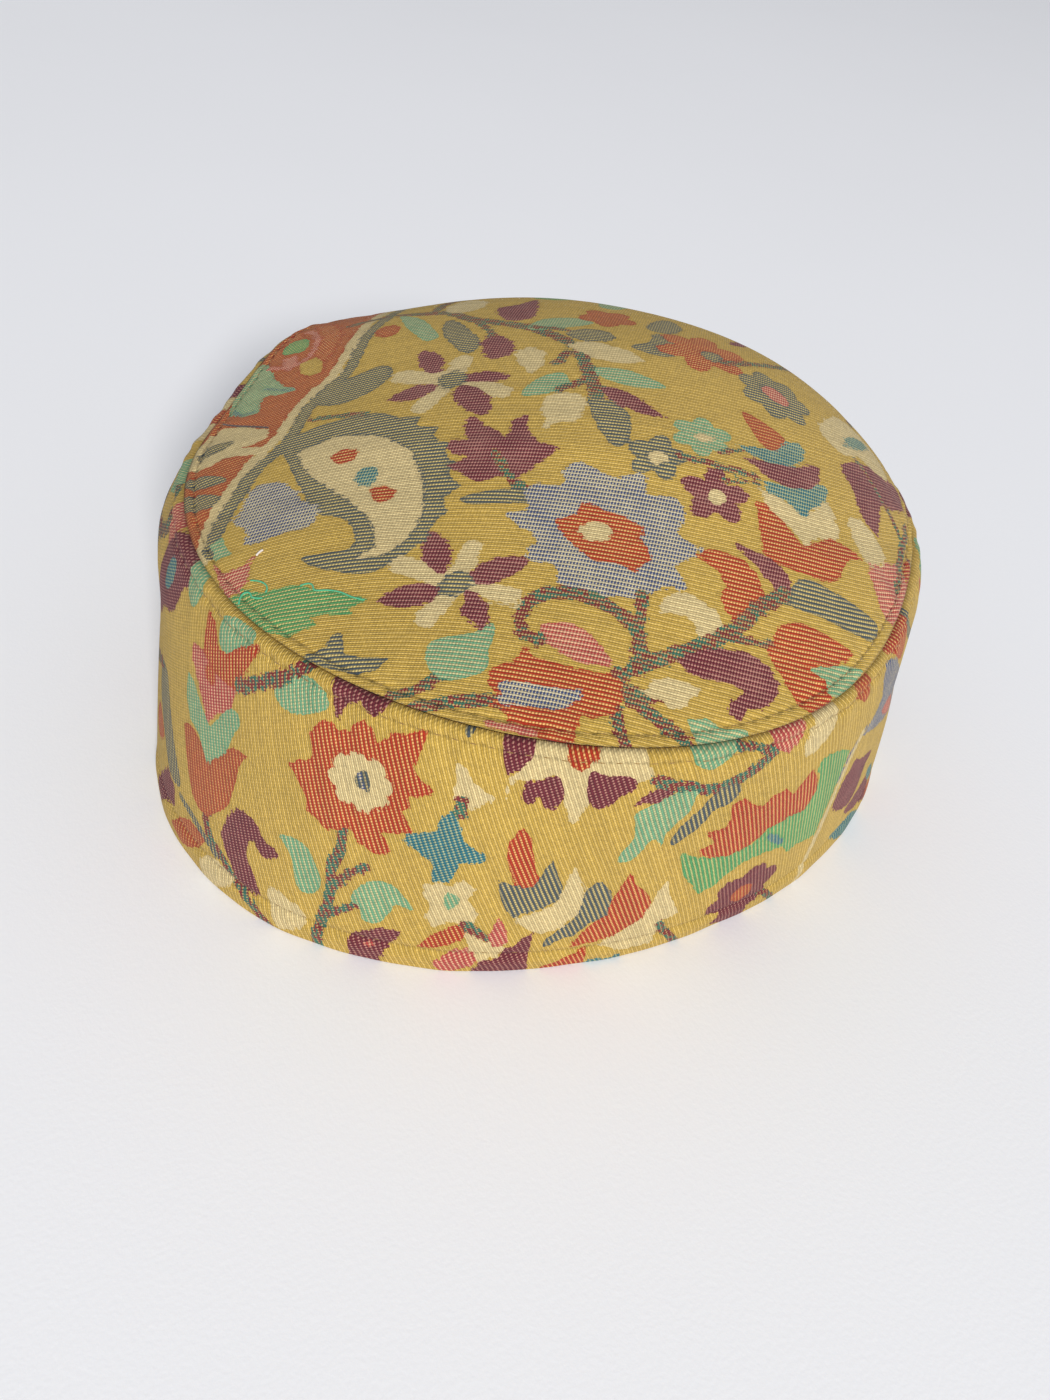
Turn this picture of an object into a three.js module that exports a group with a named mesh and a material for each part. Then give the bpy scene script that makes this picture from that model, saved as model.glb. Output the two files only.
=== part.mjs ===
// A woven cloth cap: an oval crown panel sewn to a straight side band with a turned hem.
// Millimetres. The front is -Y, the wearer's left is +X, +Z is up, and the hem stands on Z 0.
import * as THREE from "three";

// Driving sizes. Stations run round the cap from the front centre through the wearer's left.
const STATIONS = 96;
const WALK_STEPS = 1440;
const CLOTH = 2.0;
const TURNED_HEM = { thickness: 2.8, height: 9.0, step: 1.2, roundOff: 0.6 };
const SEWN_GAP = 0.3;

const HEM_OVAL = { halfLength: 102.0, halfWidth: 77.3, squareness: 2.08 };
const SEAM_OVAL = { halfLength: 88.6, halfWidth: 84.5, frontFullness: 0.08, moveX: -3.0, moveY: -1.5 };
const SEAM_HEIGHT = 75.0;
const SEAM_FALL_TO_LEFT = 0.047;
const CROWN_MIDDLE = { x: -3.7, y: -3.6 };
const CROWN_RISE = { height: 28.2, power: 2.0, leanX: -0.0015, leanY: 0.0073 };

// Slow waves in the seam's outline, by how many lobes go round.
const SEAM_WAVES = [
  { lobes: 3, cosine: -1.1, sine: 0.9 },
  { lobes: 4, cosine: 1.4, sine: 0.0 },
];
// Corners and flats pushed into the seam's outline by handling: where, how wide, how far out and up.
const SEAM_CORNERS = [
  { degrees: 208, width: 14, out: 1.6, up: 2.8 },
  { degrees: 234, width: 16, out: -1.3, up: -1.4 },
  { degrees: 45, width: 27, out: -2.4, up: 0 },
];
// A lifted corner dies away towards the crown's middle with this power of the way.
const CORNER_FADE = 3;
// The seam lies in a shallow groove, because both cloths roll in to the stitching.
const SEAM_GROOVE = { depth: 0.9, reach: 2.6, lean: 28.6, sewnDepth: 2.9 };

// The band swells a little above its middle; each fold is a soft swelling or hollow of its own.
const BAND_SWELL = { out: 2.1, peak: 0.3 };
const BAND_FOLDS = [
  { degrees: 238, width: 22, down: 0.19, tall: 0.11, out: 4.5 },
  { degrees: 62, width: 11, down: 0.15, tall: 0.10, out: 1.3 },
  { degrees: 55, width: 13, down: 0.42, tall: 0.14, out: -1.1 },
  { degrees: 352, width: 14, down: 0.55, tall: 0.22, out: -0.6 },
  { degrees: 150, width: 18, down: 0.30, tall: 0.16, out: 1.2 },
];
// Sags and soft ridges of the crown: place from its middle, heading, half length, half width, rise.
const CROWN_FOLDS = [
  { x: -22, y: 30, heading: 67, long: 42, wide: 16, rise: -1.2 },
  { x: 30, y: 12, heading: 60, long: 34, wide: 9, rise: 0.7 },
  { x: 44, y: -2, heading: 66, long: 30, wide: 7, rise: -0.6 },
  { x: -52, y: -26, heading: 118, long: 26, wide: 9, rise: 1.1 },
  { x: 10, y: -48, heading: 20, long: 30, wide: 10, rise: -0.8 },
];

// Rows of points, in the order that each skin runs: part of the way from the crown's middle to
// its rim, and part of the way down the band from seam to hem.
const CROWN_OUTER_ROWS = [0.1, 0.21, 0.33, 0.45, 0.57, 0.68, 0.78, 0.86, 0.92, 0.96, 0.985];
const CROWN_INNER_ROWS = [0.96, 0.9, 0.78, 0.62, 0.45, 0.28, 0.12];
const BAND_OUTER_ROWS = [0.02, 0.05, 0.1, 0.16, 0.23, 0.32, 0.43, 0.55, 0.68, 0.8, 0.9, 0.97, 1];
const BAND_INNER_ROWS = [0.78, 0.6, 0.42, 0.25, 0.12, 0.05];

const radians = THREE.MathUtils.degToRad;

function degreesApart(angle, at) {
  const turn = THREE.MathUtils.radToDeg(angle) - at;
  return THREE.MathUtils.euclideanModulo(turn + 180, 360) - 180;
}

function bell(distance, width) {
  return Math.exp(-((distance / width) ** 2));
}

function ovalReach(angle, { halfLength, halfWidth, squareness = 2 }) {
  const across = Math.abs(Math.cos(angle) / halfWidth) ** squareness;
  const along = Math.abs(Math.sin(angle) / halfLength) ** squareness;
  return (across + along) ** (-1 / squareness);
}

function seamPlaneHeight(x) {
  return SEAM_HEIGHT - SEAM_FALL_TO_LEFT * x;
}

function hemPoint(angle) {
  const reach = ovalReach(angle, HEM_OVAL);
  return new THREE.Vector3(reach * Math.cos(angle), reach * Math.sin(angle), 0);
}

function seamPoint(angle) {
  const fullness = 1 - SEAM_OVAL.frontFullness * Math.cos(angle) ** 2 * Math.sin(angle);
  let reach = ovalReach(angle, SEAM_OVAL) * fullness;
  for (const { lobes, cosine, sine } of SEAM_WAVES) {
    reach += cosine * Math.cos(lobes * angle) + sine * Math.sin(lobes * angle);
  }
  let lift = 0;
  for (const { degrees, width, out, up } of SEAM_CORNERS) {
    const near = bell(degreesApart(angle, degrees), width);
    reach += out * near;
    lift += up * near;
  }
  const x = reach * Math.cos(angle) + SEAM_OVAL.moveX;
  const y = reach * Math.sin(angle) + SEAM_OVAL.moveY;
  return new THREE.Vector3(x, y, seamPlaneHeight(x) + lift);
}

// Points at equal steps of cloth round a closed outline, from the front centre.
function evenlySpaced(outline) {
  const points = [];
  for (let step = 0; step <= WALK_STEPS; step += 1) {
    points.push(outline(radians(-90 + (360 * step) / WALK_STEPS)));
  }
  const walked = [0];
  for (let step = 1; step <= WALK_STEPS; step += 1) {
    walked.push(walked[step - 1] + points[step].distanceTo(points[step - 1]));
  }
  const spaced = [];
  let step = 1;
  for (let station = 0; station < STATIONS; station += 1) {
    const goal = (walked[WALK_STEPS] * station) / STATIONS;
    while (walked[step] < goal) step += 1;
    const part = (goal - walked[step - 1]) / (walked[step] - walked[step - 1]);
    spaced.push(points[step - 1].clone().lerp(points[step], part));
  }
  return spaced;
}

// The unit direction that the sewn edges point in, inwards and a little down, at one place.
function intoSeam(outward) {
  const lean = radians(SEAM_GROOVE.lean);
  return new THREE.Vector3(-outward.x * Math.cos(lean), -outward.y * Math.cos(lean), -Math.sin(lean));
}

// The unit direction from the band's side of the seam to the crown's side.
function acrossSeam(outward) {
  const lean = radians(SEAM_GROOVE.lean);
  return new THREE.Vector3(-outward.x * Math.sin(lean), -outward.y * Math.sin(lean), Math.cos(lean));
}

function grooveAt(point, outward, distance) {
  const depth = SEAM_GROOVE.depth * bell(distance, SEAM_GROOVE.reach);
  return point.addScaledVector(intoSeam(outward), depth);
}

function crownFoldRise(x, y) {
  let rise = 0;
  for (const fold of CROWN_FOLDS) {
    const heading = radians(fold.heading);
    const along = (x - fold.x) * Math.cos(heading) + (y - fold.y) * Math.sin(heading);
    const aside = (y - fold.y) * Math.cos(heading) - (x - fold.x) * Math.sin(heading);
    rise += fold.rise * bell(along, fold.long) * bell(aside, fold.wide);
  }
  return rise;
}

// A point of the crown's outer face, on the way from its middle to one place of the seam.
function crownPoint(seam, part) {
  const reachX = (seam.x - CROWN_MIDDLE.x) * part;
  const reachY = (seam.y - CROWN_MIDDLE.y) * part;
  const x = CROWN_MIDDLE.x + reachX;
  const cornerLift = (seam.z - seamPlaneHeight(seam.x)) * part ** CORNER_FADE;
  const swell = 1 - part ** CROWN_RISE.power;
  const lean = 1 + CROWN_RISE.leanX * reachX + CROWN_RISE.leanY * reachY;
  const rise = (CROWN_RISE.height * lean + crownFoldRise(reachX, reachY)) * swell;
  return new THREE.Vector3(x, CROWN_MIDDLE.y + reachY, seamPlaneHeight(x) + cornerLift + rise);
}

function bandOutward(seam, hem) {
  return new THREE.Vector3(seam.x + hem.x, seam.y + hem.y, 0).normalize();
}

// How far the band's outer face stands out of the straight line from seam to hem.
function bandSwell(angle, down) {
  const { out, peak } = BAND_SWELL;
  const rise = peak / (1 - peak);
  let swell = (out * down ** rise * (1 - down)) / (peak ** rise * (1 - peak));
  for (const fold of BAND_FOLDS) {
    const near = bell(degreesApart(angle, fold.degrees), fold.width);
    swell += fold.out * near * bell(down - fold.down, fold.tall) * (1 - down);
  }
  return swell;
}

function bandPoint(seam, hem, down) {
  const outward = bandOutward(seam, hem);
  const angle = Math.atan2(outward.y, outward.x);
  return seam.clone().lerp(hem, down).addScaledVector(outward, bandSwell(angle, down));
}

const seam = evenlySpaced(seamPoint);
const hem = evenlySpaced(hemPoint);
const outward = seam.map((point, station) => bandOutward(point, hem[station]));

// One ring of points, worked out station by station.
function ring(pointAt) {
  return seam.map((_, station) => pointAt(station));
}

// A closed skin through rings of equal count: the last ring joins the first, or poles close both ends.
function skin(rings, poles) {
  const positions = rings.flat().flatMap((point) => point.toArray());
  const faces = [];
  const joins = poles ? rings.length - 1 : rings.length;
  for (let row = 0; row < joins; row += 1) {
    const here = row * STATIONS;
    const next = ((row + 1) % rings.length) * STATIONS;
    for (let station = 0; station < STATIONS; station += 1) {
      const beside = (station + 1) % STATIONS;
      faces.push(here + station, next + station, next + beside);
      faces.push(here + station, next + beside, here + beside);
    }
  }
  if (poles) {
    const first = positions.length / 3;
    const last = (rings.length - 1) * STATIONS;
    positions.push(...poles[0].toArray(), ...poles[1].toArray());
    for (let station = 0; station < STATIONS; station += 1) {
      const beside = (station + 1) % STATIONS;
      faces.push(first, station, beside);
      faces.push(first + 1, last + beside, last + station);
    }
  }
  const geometry = new THREE.BufferGeometry();
  geometry.setAttribute("position", new THREE.Float32BufferAttribute(positions, 3));
  geometry.setIndex(faces);
  geometry.computeVertexNormals();
  return geometry;
}

// The sewn edge of either cloth: outer and inner corner, half the gap to its own side of the seam.
function sewnEdge(station, depth, side) {
  return seam[station].clone()
    .addScaledVector(intoSeam(outward[station]), depth)
    .addScaledVector(acrossSeam(outward[station]), (side * SEWN_GAP) / 2);
}

function crownOuter(station, part) {
  const point = crownPoint(seam[station], part);
  const distance = seam[station].distanceTo(point);
  return grooveAt(point, outward[station], distance);
}

function crownInner(station, part) {
  const reach = Math.hypot(seam[station].x - CROWN_MIDDLE.x, seam[station].y - CROWN_MIDDLE.y);
  const fall = (CROWN_RISE.height * CROWN_RISE.power * part ** (CROWN_RISE.power - 1)) / reach;
  const point = crownPoint(seam[station], part);
  point.z -= CLOTH * Math.hypot(1, fall);
  return point;
}

function crownGeometry() {
  const outer = CROWN_OUTER_ROWS.map((part) => ring((at) => crownOuter(at, part)));
  const rim = [
    ring((at) => sewnEdge(at, SEAM_GROOVE.depth, 1)),
    ring((at) => sewnEdge(at, SEAM_GROOVE.sewnDepth, 1)),
  ];
  const inner = CROWN_INNER_ROWS.map((part) => ring((at) => crownInner(at, part)));
  const top = crownPoint(seam[0], 0);
  const under = top.clone();
  under.z -= CLOTH;
  return skin([...outer, ...rim, ...inner], [top, under]);
}

function bandOuter(station, down) {
  const point = bandPoint(seam[station], hem[station], down);
  const distance = seam[station].distanceTo(point);
  if (down === 1) point.addScaledVector(outward[station], -TURNED_HEM.roundOff);
  return grooveAt(point, outward[station], distance);
}

function bandInner(station, down, thickness) {
  return bandPoint(seam[station], hem[station], down).addScaledVector(outward[station], -thickness);
}

function bandGeometry() {
  const hemTop = 1 - TURNED_HEM.height / SEAM_HEIGHT;
  const hemStep = 1 - (TURNED_HEM.height + TURNED_HEM.step) / SEAM_HEIGHT;
  const outer = BAND_OUTER_ROWS.map((down) => ring((at) => bandOuter(at, down)));
  const turned = [
    ring((at) => bandInner(at, 1, TURNED_HEM.thickness)),
    ring((at) => bandInner(at, hemTop, TURNED_HEM.thickness)),
    ring((at) => bandInner(at, hemStep, CLOTH)),
  ];
  const inner = BAND_INNER_ROWS.map((down) => ring((at) => bandInner(at, down, CLOTH)));
  const rim = [
    ring((at) => sewnEdge(at, SEAM_GROOVE.sewnDepth, -1)),
    ring((at) => sewnEdge(at, SEAM_GROOVE.depth, -1)),
  ];
  return skin([...rim, ...outer, ...turned, ...inner], null);
}

function cloth(name, geometry, color) {
  const material = new THREE.MeshStandardMaterial({ color, roughness: 0.85, metalness: 0 });
  const mesh = new THREE.Mesh(geometry, material);
  mesh.name = name;
  return mesh;
}

const cap = new THREE.Group();
cap.add(cloth("crown", crownGeometry(), "#c9a850"));
cap.add(cloth("band", bandGeometry(), "#c8a44c"));

export default cap;
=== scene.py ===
"""Looks of the woven cloth cap: patterned cloth, stitches, loose threads, plain floor and soft light."""

import math
from collections import namedtuple

import bmesh
import bpy
import numpy as np
from bpy.props import FloatProperty, FloatVectorProperty, PointerProperty
from mathutils import Matrix, Vector


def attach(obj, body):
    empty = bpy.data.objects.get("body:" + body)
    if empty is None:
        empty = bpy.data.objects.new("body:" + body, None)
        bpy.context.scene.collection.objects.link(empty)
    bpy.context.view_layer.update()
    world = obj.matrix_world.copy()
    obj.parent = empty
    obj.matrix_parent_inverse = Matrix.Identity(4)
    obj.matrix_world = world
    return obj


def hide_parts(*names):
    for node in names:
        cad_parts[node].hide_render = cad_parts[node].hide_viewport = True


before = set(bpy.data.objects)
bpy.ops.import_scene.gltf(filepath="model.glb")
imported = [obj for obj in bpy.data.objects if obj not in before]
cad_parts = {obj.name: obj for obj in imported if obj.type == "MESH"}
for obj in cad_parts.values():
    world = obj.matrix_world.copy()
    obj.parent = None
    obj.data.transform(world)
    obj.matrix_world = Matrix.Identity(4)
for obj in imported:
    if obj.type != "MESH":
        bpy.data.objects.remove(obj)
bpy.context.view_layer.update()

bl_info = {
    "name": "Woven Cloth Cap",
    "version": (1, 0, 0),
    "blender": (4, 5, 0),
    "location": "3D View > Sidebar > Cap",
    "description": "Dresses the cap's solids in patterned cloth with stitched seams",
    "category": "Object",
}

# Lengths are millimetres until a mesh is written. The front is -Y, the wearer's left is +X, and the
# hem stands on Z 0. A turn runs round the cap from the front centre through the wearer's left.
MM = 0.001
BODY = "root"
# Points nearer than this are merged, on a finished mesh in metres and on a mesh that is still a chart.
SAME_PLACE, SAME_CHART_PLACE = 1e-7, 1e-4

# The outlines and heights of the two pieces, as in the solids.
WALK_STEPS = 1440
HEM_OVAL = {"half_length": 102.0, "half_width": 77.3, "squareness": 2.08}
SEAM_OVAL = {"half_length": 88.6, "half_width": 84.5, "squareness": 2.0}
FRONT_FULLNESS = 0.08
SEAM_MOVE = (-3.0, -1.5)
SEAM_HEIGHT = 75.0
SEAM_FALL_TO_LEFT = 0.047
CROWN_MIDDLE = np.array((-3.7, -3.6))
CROWN_RISE = {"height": 28.2, "lean_x": -0.0015, "lean_y": 0.0073}
CORNER_FADE = 3
SEAM_GROOVE = {"depth": 0.9, "reach": 2.6, "lean": 28.6, "sewn_depth": 2.9, "gap": 0.3}
TURNED_HEM = {"thickness": 2.8, "height": 9.0, "step": 1.2, "round_off": 0.6}
BAND_SWELL = {"out": 2.1, "peak": 0.3}

# Columns: lobes, cosine, sine.
SEAM_WAVES = [(3, -1.1, 0.9), (4, 1.4, 0.0)]
# Columns: degrees, width, out, up.
SEAM_CORNERS = [(208, 14, 1.6, 2.8), (234, 16, -1.3, -1.4), (45, 27, -2.4, 0)]
# Columns: degrees, width, part of the way down, tall, out.
BAND_FOLDS = [
    (238, 22, 0.19, 0.11, 4.5),
    (62, 11, 0.15, 0.10, 1.3),
    (55, 13, 0.42, 0.14, -1.1),
    (352, 14, 0.55, 0.22, -0.6),
    (150, 18, 0.30, 0.16, 1.2),
]
# Columns: x and y from the crown's middle, heading, long, wide, rise.
CROWN_FOLDS = [
    (-22, 30, 67, 42, 16, -1.2),
    (30, 12, 60, 34, 9, 0.7),
    (44, -2, 66, 30, 7, -0.6),
    (-52, -26, 118, 26, 9, 1.1),
    (10, -48, 20, 30, 10, -0.8),
]

# The charts of the pattern: the crown's is turned on its plan, the band's is flat cloth.
CROWN_CHART_TURN = math.radians(69)
BAND_CHART_LENGTH = 556.0
BAND_CHART_HEIGHT = 75.0
GRAIN_LEAN = math.radians(21.5)
GRAIN_UPRIGHT_AT = -25.0

# Fine mesh of each piece, in faces.
CROWN_GRID = 256
BAND_STATIONS = 736
BAND_OUTER_ROWS = 98
BAND_INNER_ROWS = 14


def bell(distance, width):
    """1 where the distance is 0, falling smoothly to about a third one width away."""
    return np.exp(-((distance / width) ** 2))


def degrees_apart(angle, at):
    return (np.degrees(angle) - at + 180) % 360 - 180


def oval_reach(angle, oval):
    power = oval["squareness"]
    across = np.abs(np.cos(angle) / oval["half_width"]) ** power
    along = np.abs(np.sin(angle) / oval["half_length"]) ** power
    return (across + along) ** (-1 / power)


def seam_plane(x):
    return SEAM_HEIGHT - SEAM_FALL_TO_LEFT * x


def hem_line(angle):
    reach = oval_reach(angle, HEM_OVAL)
    return np.stack([reach * np.cos(angle), reach * np.sin(angle), 0 * angle], -1)


def seam_line(angle):
    fullness = 1 - FRONT_FULLNESS * np.cos(angle) ** 2 * np.sin(angle)
    reach = oval_reach(angle, SEAM_OVAL) * fullness
    for lobes, cosine, sine in SEAM_WAVES:
        reach = reach + cosine * np.cos(lobes * angle) + sine * np.sin(lobes * angle)
    lift = 0 * angle
    for degrees, width, out, up in SEAM_CORNERS:
        near = bell(degrees_apart(angle, degrees), width)
        reach = reach + out * near
        lift = lift + up * near
    x = reach * np.cos(angle) + SEAM_MOVE[0]
    y = reach * np.sin(angle) + SEAM_MOVE[1]
    return np.stack([x, y, seam_plane(x) + lift], -1)


class Outline:
    """A closed line round the cap that is read at equal steps of cloth."""

    def __init__(self, line):
        angles = np.radians(-90 + 360 * np.arange(WALK_STEPS + 1) / WALK_STEPS)
        self.points = line(angles)
        steps = np.linalg.norm(np.diff(self.points, axis=0), axis=1)
        walked = np.concatenate([[0], np.cumsum(steps)])
        self.turns = walked / walked[-1]
        self.length = walked[-1]

    def at(self, turn):
        turn = turn % 1
        return np.stack([np.interp(turn, self.turns, axis) for axis in self.points.T], -1)


SEAM = Outline(seam_line)
HEM = Outline(hem_line)


def outward_at(turn):
    both = SEAM.at(turn) + HEM.at(turn)
    both[..., 2] = 0
    return both / np.linalg.norm(both, axis=-1, keepdims=True)


def seam_directions(turn):
    """The unit directions into the seam's groove, and from the band's side of it to the crown's."""
    lean = math.radians(SEAM_GROOVE["lean"])
    outward = outward_at(turn)
    up = np.array((0.0, 0.0, 1.0))
    into = -outward * math.cos(lean) - up * math.sin(lean)
    across = -outward * math.sin(lean) + up * math.cos(lean)
    return into, across


def sink_to_groove(places, turn, side):
    """Rolls the cloth near the seam down into its groove, to its own side of the stitching."""
    into, across = seam_directions(turn)
    distance = np.linalg.norm(places - SEAM.at(turn), axis=-1)[..., None]
    depth = SEAM_GROOVE["depth"] * bell(distance, SEAM_GROOVE["reach"])
    aside = side * SEAM_GROOVE["gap"] / 2 * bell(distance, SEAM_GROOVE["gap"] * 3)
    return places + into * depth + across * aside


def sewn_edge(turn, depth, side):
    """Where the cloth's own edge lies in the seam."""
    into, across = seam_directions(turn)
    return SEAM.at(turn) + into * depth + across * side * SEAM_GROOVE["gap"] / 2


def crown_fold_rise(x, y):
    rise = 0 * x
    for fold_x, fold_y, heading, long, wide, height in CROWN_FOLDS:
        heading = math.radians(heading)
        along = (x - fold_x) * math.cos(heading) + (y - fold_y) * math.sin(heading)
        aside = (y - fold_y) * math.cos(heading) - (x - fold_x) * math.sin(heading)
        rise = rise + height * bell(along, long) * bell(aside, wide)
    return rise


def crown_plan(turn, part):
    """How far a place of the crown lies from its middle, seen from above."""
    return (SEAM.at(turn)[..., :2] - CROWN_MIDDLE) * part[..., None]


def crown_place(turn, part):
    """The crown's outer face without its small forms, from 0 at its middle to 1 at the seam."""
    seam = SEAM.at(turn)
    plan = crown_plan(turn, part)
    x = CROWN_MIDDLE[0] + plan[..., 0]
    corner_lift = (seam[..., 2] - seam_plane(seam[..., 0])) * part**CORNER_FADE
    lean = 1 + CROWN_RISE["lean_x"] * plan[..., 0] + CROWN_RISE["lean_y"] * plan[..., 1]
    rise = CROWN_RISE["height"] * lean + crown_fold_rise(plan[..., 0], plan[..., 1])
    z = seam_plane(x) + corner_lift + rise * (1 - part**2)
    return np.stack([x, CROWN_MIDDLE[1] + plan[..., 1], z], -1)


def band_place(turn, down):
    """The band's outer face without its small forms, from 0 at the seam down to 1 at the hem."""
    outward = outward_at(turn)
    angle = np.arctan2(outward[..., 1], outward[..., 0])
    peak = BAND_SWELL["peak"]
    power = peak / (1 - peak)
    swell = BAND_SWELL["out"] * down**power * (1 - down) / (peak**power * (1 - peak))
    for degrees, width, middle, tall, out in BAND_FOLDS:
        near = bell(degrees_apart(angle, degrees), width)
        swell = swell + out * near * bell(down - middle, tall) * (1 - down)
    straight = SEAM.at(turn) * (1 - down[..., None]) + HEM.at(turn) * down[..., None]
    return straight + outward * swell[..., None]


# Small forms of the sewn cloth: puckers at the seam, stitched channels and a rippled hem.
# Columns of GATHERS and HEM_RIPPLES: lobes, phase, height.
GATHERS = [(43, 0.4, 0.17), (59, 2.1, 0.14), (83, 4.4, 0.10), (17, 1.2, 0.20)]
GATHER_START = 1.2
GATHER_REACH = 8.0
BAND_GATHER_LAG = 0.013
STITCH_PITCH = 3.4
SEAM_STITCHES = round(SEAM.length / STITCH_PITCH)
HEM_STITCHES = round(HEM.length / STITCH_PITCH)
CROWN_STITCH_ROW = 2.9
BAND_STITCH_ROW = 3.1
HEM_STITCH_ROW = 7.6
CHANNEL = {"depth": 0.24, "half_width": 0.8, "dimple": 0.46, "puff": 0.42}
HEM_CHANNEL = {"depth": 0.5, "half_width": 0.7, "puff": 0.35}
HEM_RIPPLES = [(29, 0.8, 0.07), (47, 3.3, 0.04), (13, 2.2, 0.14)]
HEM_RIPPLE_REACH = 14.0
# Columns: lean, pitch and height of the ripples, middle in u and v, reach in u and v.
CROWN_RIPPLES = [
    (0.25, 8.5, 0.14, -18, -22, 30, 26),
    (-0.2, 11, 0.1, 40, -30, 26, 24),
]
# How much longer the crown's cloth is at its rim than its plan, because it runs down to the seam.
CROWN_RIM_SLOPE = 1.15
# Painted shade: how dark the cloth is painted along a row of stitches, how much darker at its needle holes,
# and in the seam's crease.
CROWN_ROW_SHADE = (0.14, 0.42)
BAND_ROW_SHADE = (0.03, 0.3)
HEM_SHADE = 0.15
SEAM_SHADE = {"dark": 0.25, "reach": 0.5}


def waves(turn, table):
    """Irregular waves round the cap."""
    total = 0 * turn
    for lobes, phase, height in table:
        total = total + height * np.sin(2 * math.pi * lobes * turn + phase)
    return total


def gathers(turn, from_seam):
    """Puckers that start just off the seam and fade away from it."""
    fading = np.exp(-from_seam / GATHER_REACH)
    return waves(turn, GATHERS) * fading * (1 - np.exp(-from_seam / GATHER_START))


def needle_holes(turn):
    """Tells the places along the seam where the needle went in, 1, from those between them, 0."""
    return 0.5 + 0.5 * np.cos(2 * math.pi * SEAM_STITCHES * turn)


def stitched_channel(distance, row, turn):
    """The shallow channel that a row of stitches pulls in, deepest where the needle went in."""
    near = bell(distance - row, CHANNEL["half_width"])
    depth = CHANNEL["depth"] + CHANNEL["dimple"] * needle_holes(turn) ** 6
    return CHANNEL["puff"] * bell(distance - row / 2, row / 3) - near * depth


def crown_reach(turn):
    """How far the seam lies from the crown's middle, seen from above."""
    return np.linalg.norm(SEAM.at(turn)[..., :2] - CROWN_MIDDLE, axis=-1)


def from_rim(turn, part):
    """How far a place of the crown lies from its seam, over the cloth."""
    return (1 - part) * crown_reach(turn) * CROWN_RIM_SLOPE


def crown_relief(turn, part):
    """Height of the crown's small forms over its main shape."""
    distance = from_rim(turn, part)
    u, v = crown_chart(crown_plan(turn, part))
    ripples = 0 * u
    for lean, pitch, height, middle_u, middle_v, reach_u, reach_v in CROWN_RIPPLES:
        ripple = height * np.sin(2 * math.pi * (v + lean * u) / pitch)
        ripples = ripples + ripple * bell(u - middle_u, reach_u) * bell(v - middle_v, reach_v)
    return gathers(turn, distance) + ripples + stitched_channel(distance, CROWN_STITCH_ROW, turn)


def band_relief(turn, down):
    """Height of the band's small forms over its main shape."""
    from_seam = down * SEAM_HEIGHT
    from_hem = (1 - down) * SEAM_HEIGHT
    puckers = gathers(turn + BAND_GATHER_LAG, from_seam)
    ripples = waves(turn, HEM_RIPPLES) * np.exp(-from_hem / HEM_RIPPLE_REACH)
    top = stitched_channel(from_seam, BAND_STITCH_ROW, turn)
    low = HEM_CHANNEL["puff"] * bell(from_hem - HEM_STITCH_ROW * 0.55, HEM_STITCH_ROW / 4)
    low = low - HEM_CHANNEL["depth"] * bell(from_hem - HEM_STITCH_ROW, HEM_CHANNEL["half_width"])
    return puckers + ripples + top + low


def normals_of(place, turn, part):
    """Unit normals of a piece's outer face, from small steps along its two ways."""
    small = 1e-4
    ahead = place(turn + small, part) - place(turn - small, part)
    beyond = place(turn, np.minimum(part + small, 1)) - place(turn, np.maximum(part - small, 0))
    normal = np.cross(beyond, ahead)
    return normal / np.maximum(np.linalg.norm(normal, axis=-1, keepdims=True), 1e-12)


def crown_face(turn, part):
    """The crown's outer face with its small forms."""
    off_middle = np.maximum(part, 0.004)
    relief = crown_relief(turn, part)[..., None]
    lifted = crown_place(turn, part) + normals_of(crown_place, turn, off_middle) * relief
    return sink_to_groove(lifted, turn, 1)


def band_face(turn, down):
    """The band's outer face with its small forms."""
    relief = band_relief(turn, down)[..., None]
    lifted = band_place(turn, down) + normals_of(band_place, turn, down) * relief
    return sink_to_groove(lifted, turn, -1)


# The pattern. A motif is one area of one yarn, charted in millimetres of cloth.
Motif = namedtuple("Motif", "yarn form sizes points")
YARNS = (
    "yellow",
    "cream",
    "vermilion",
    "rust",
    "maroon",
    "mint",
    "green",
    "teal",
    "slate",
    "blue_white",
    "pink",
    "stem",
)
REACH_OF_EDGE = 3.0
ROUNDING_STEPS = 4
# How far a rounded outline may swing out past its corners.
ROUNDING_SWING = 2
# A petal's edge leans, so a place lies nearer to it than along the ray from the flower's middle.
PETAL_LEAN = 0.8


def patch(yarn, *points):
    """An area with straight sides and sharp corners."""
    return Motif(yarn, "patch", (), points)


def bean(yarn, *points):
    """An area with one smooth outline."""
    return Motif(yarn, "bean", (), points)


def line(yarn, width, *points):
    """A stem or stripe of even width."""
    return Motif(yarn, "line", (width,), points)


def petals(yarn, reach, count, depth, heading, x, y, tall=1.0):
    """A flower whose edge comes out in round petals; tall stretches it along the chart's height."""
    return Motif(yarn, "petals", (reach, count, depth, heading, tall), ((x, y),))


def spot(yarn, x, y, long, wide=None, heading=0.0):
    """A small oval; long and wide are its half sizes."""
    return Motif(yarn, "spot", (long, wide or long, heading), ((x, y),))


def moved(motifs, by, mirror_at=None):
    """The same motifs again at another place along the cloth, mirrored about mirror_at if given."""
    again = []
    for motif in motifs:
        if mirror_at is None:
            points = tuple((x + by, y) for x, y in motif.points)
        else:
            points = tuple((2 * mirror_at - x + by, y) for x, y in motif.points)
        again.append(motif._replace(points=points))
    return again


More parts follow.
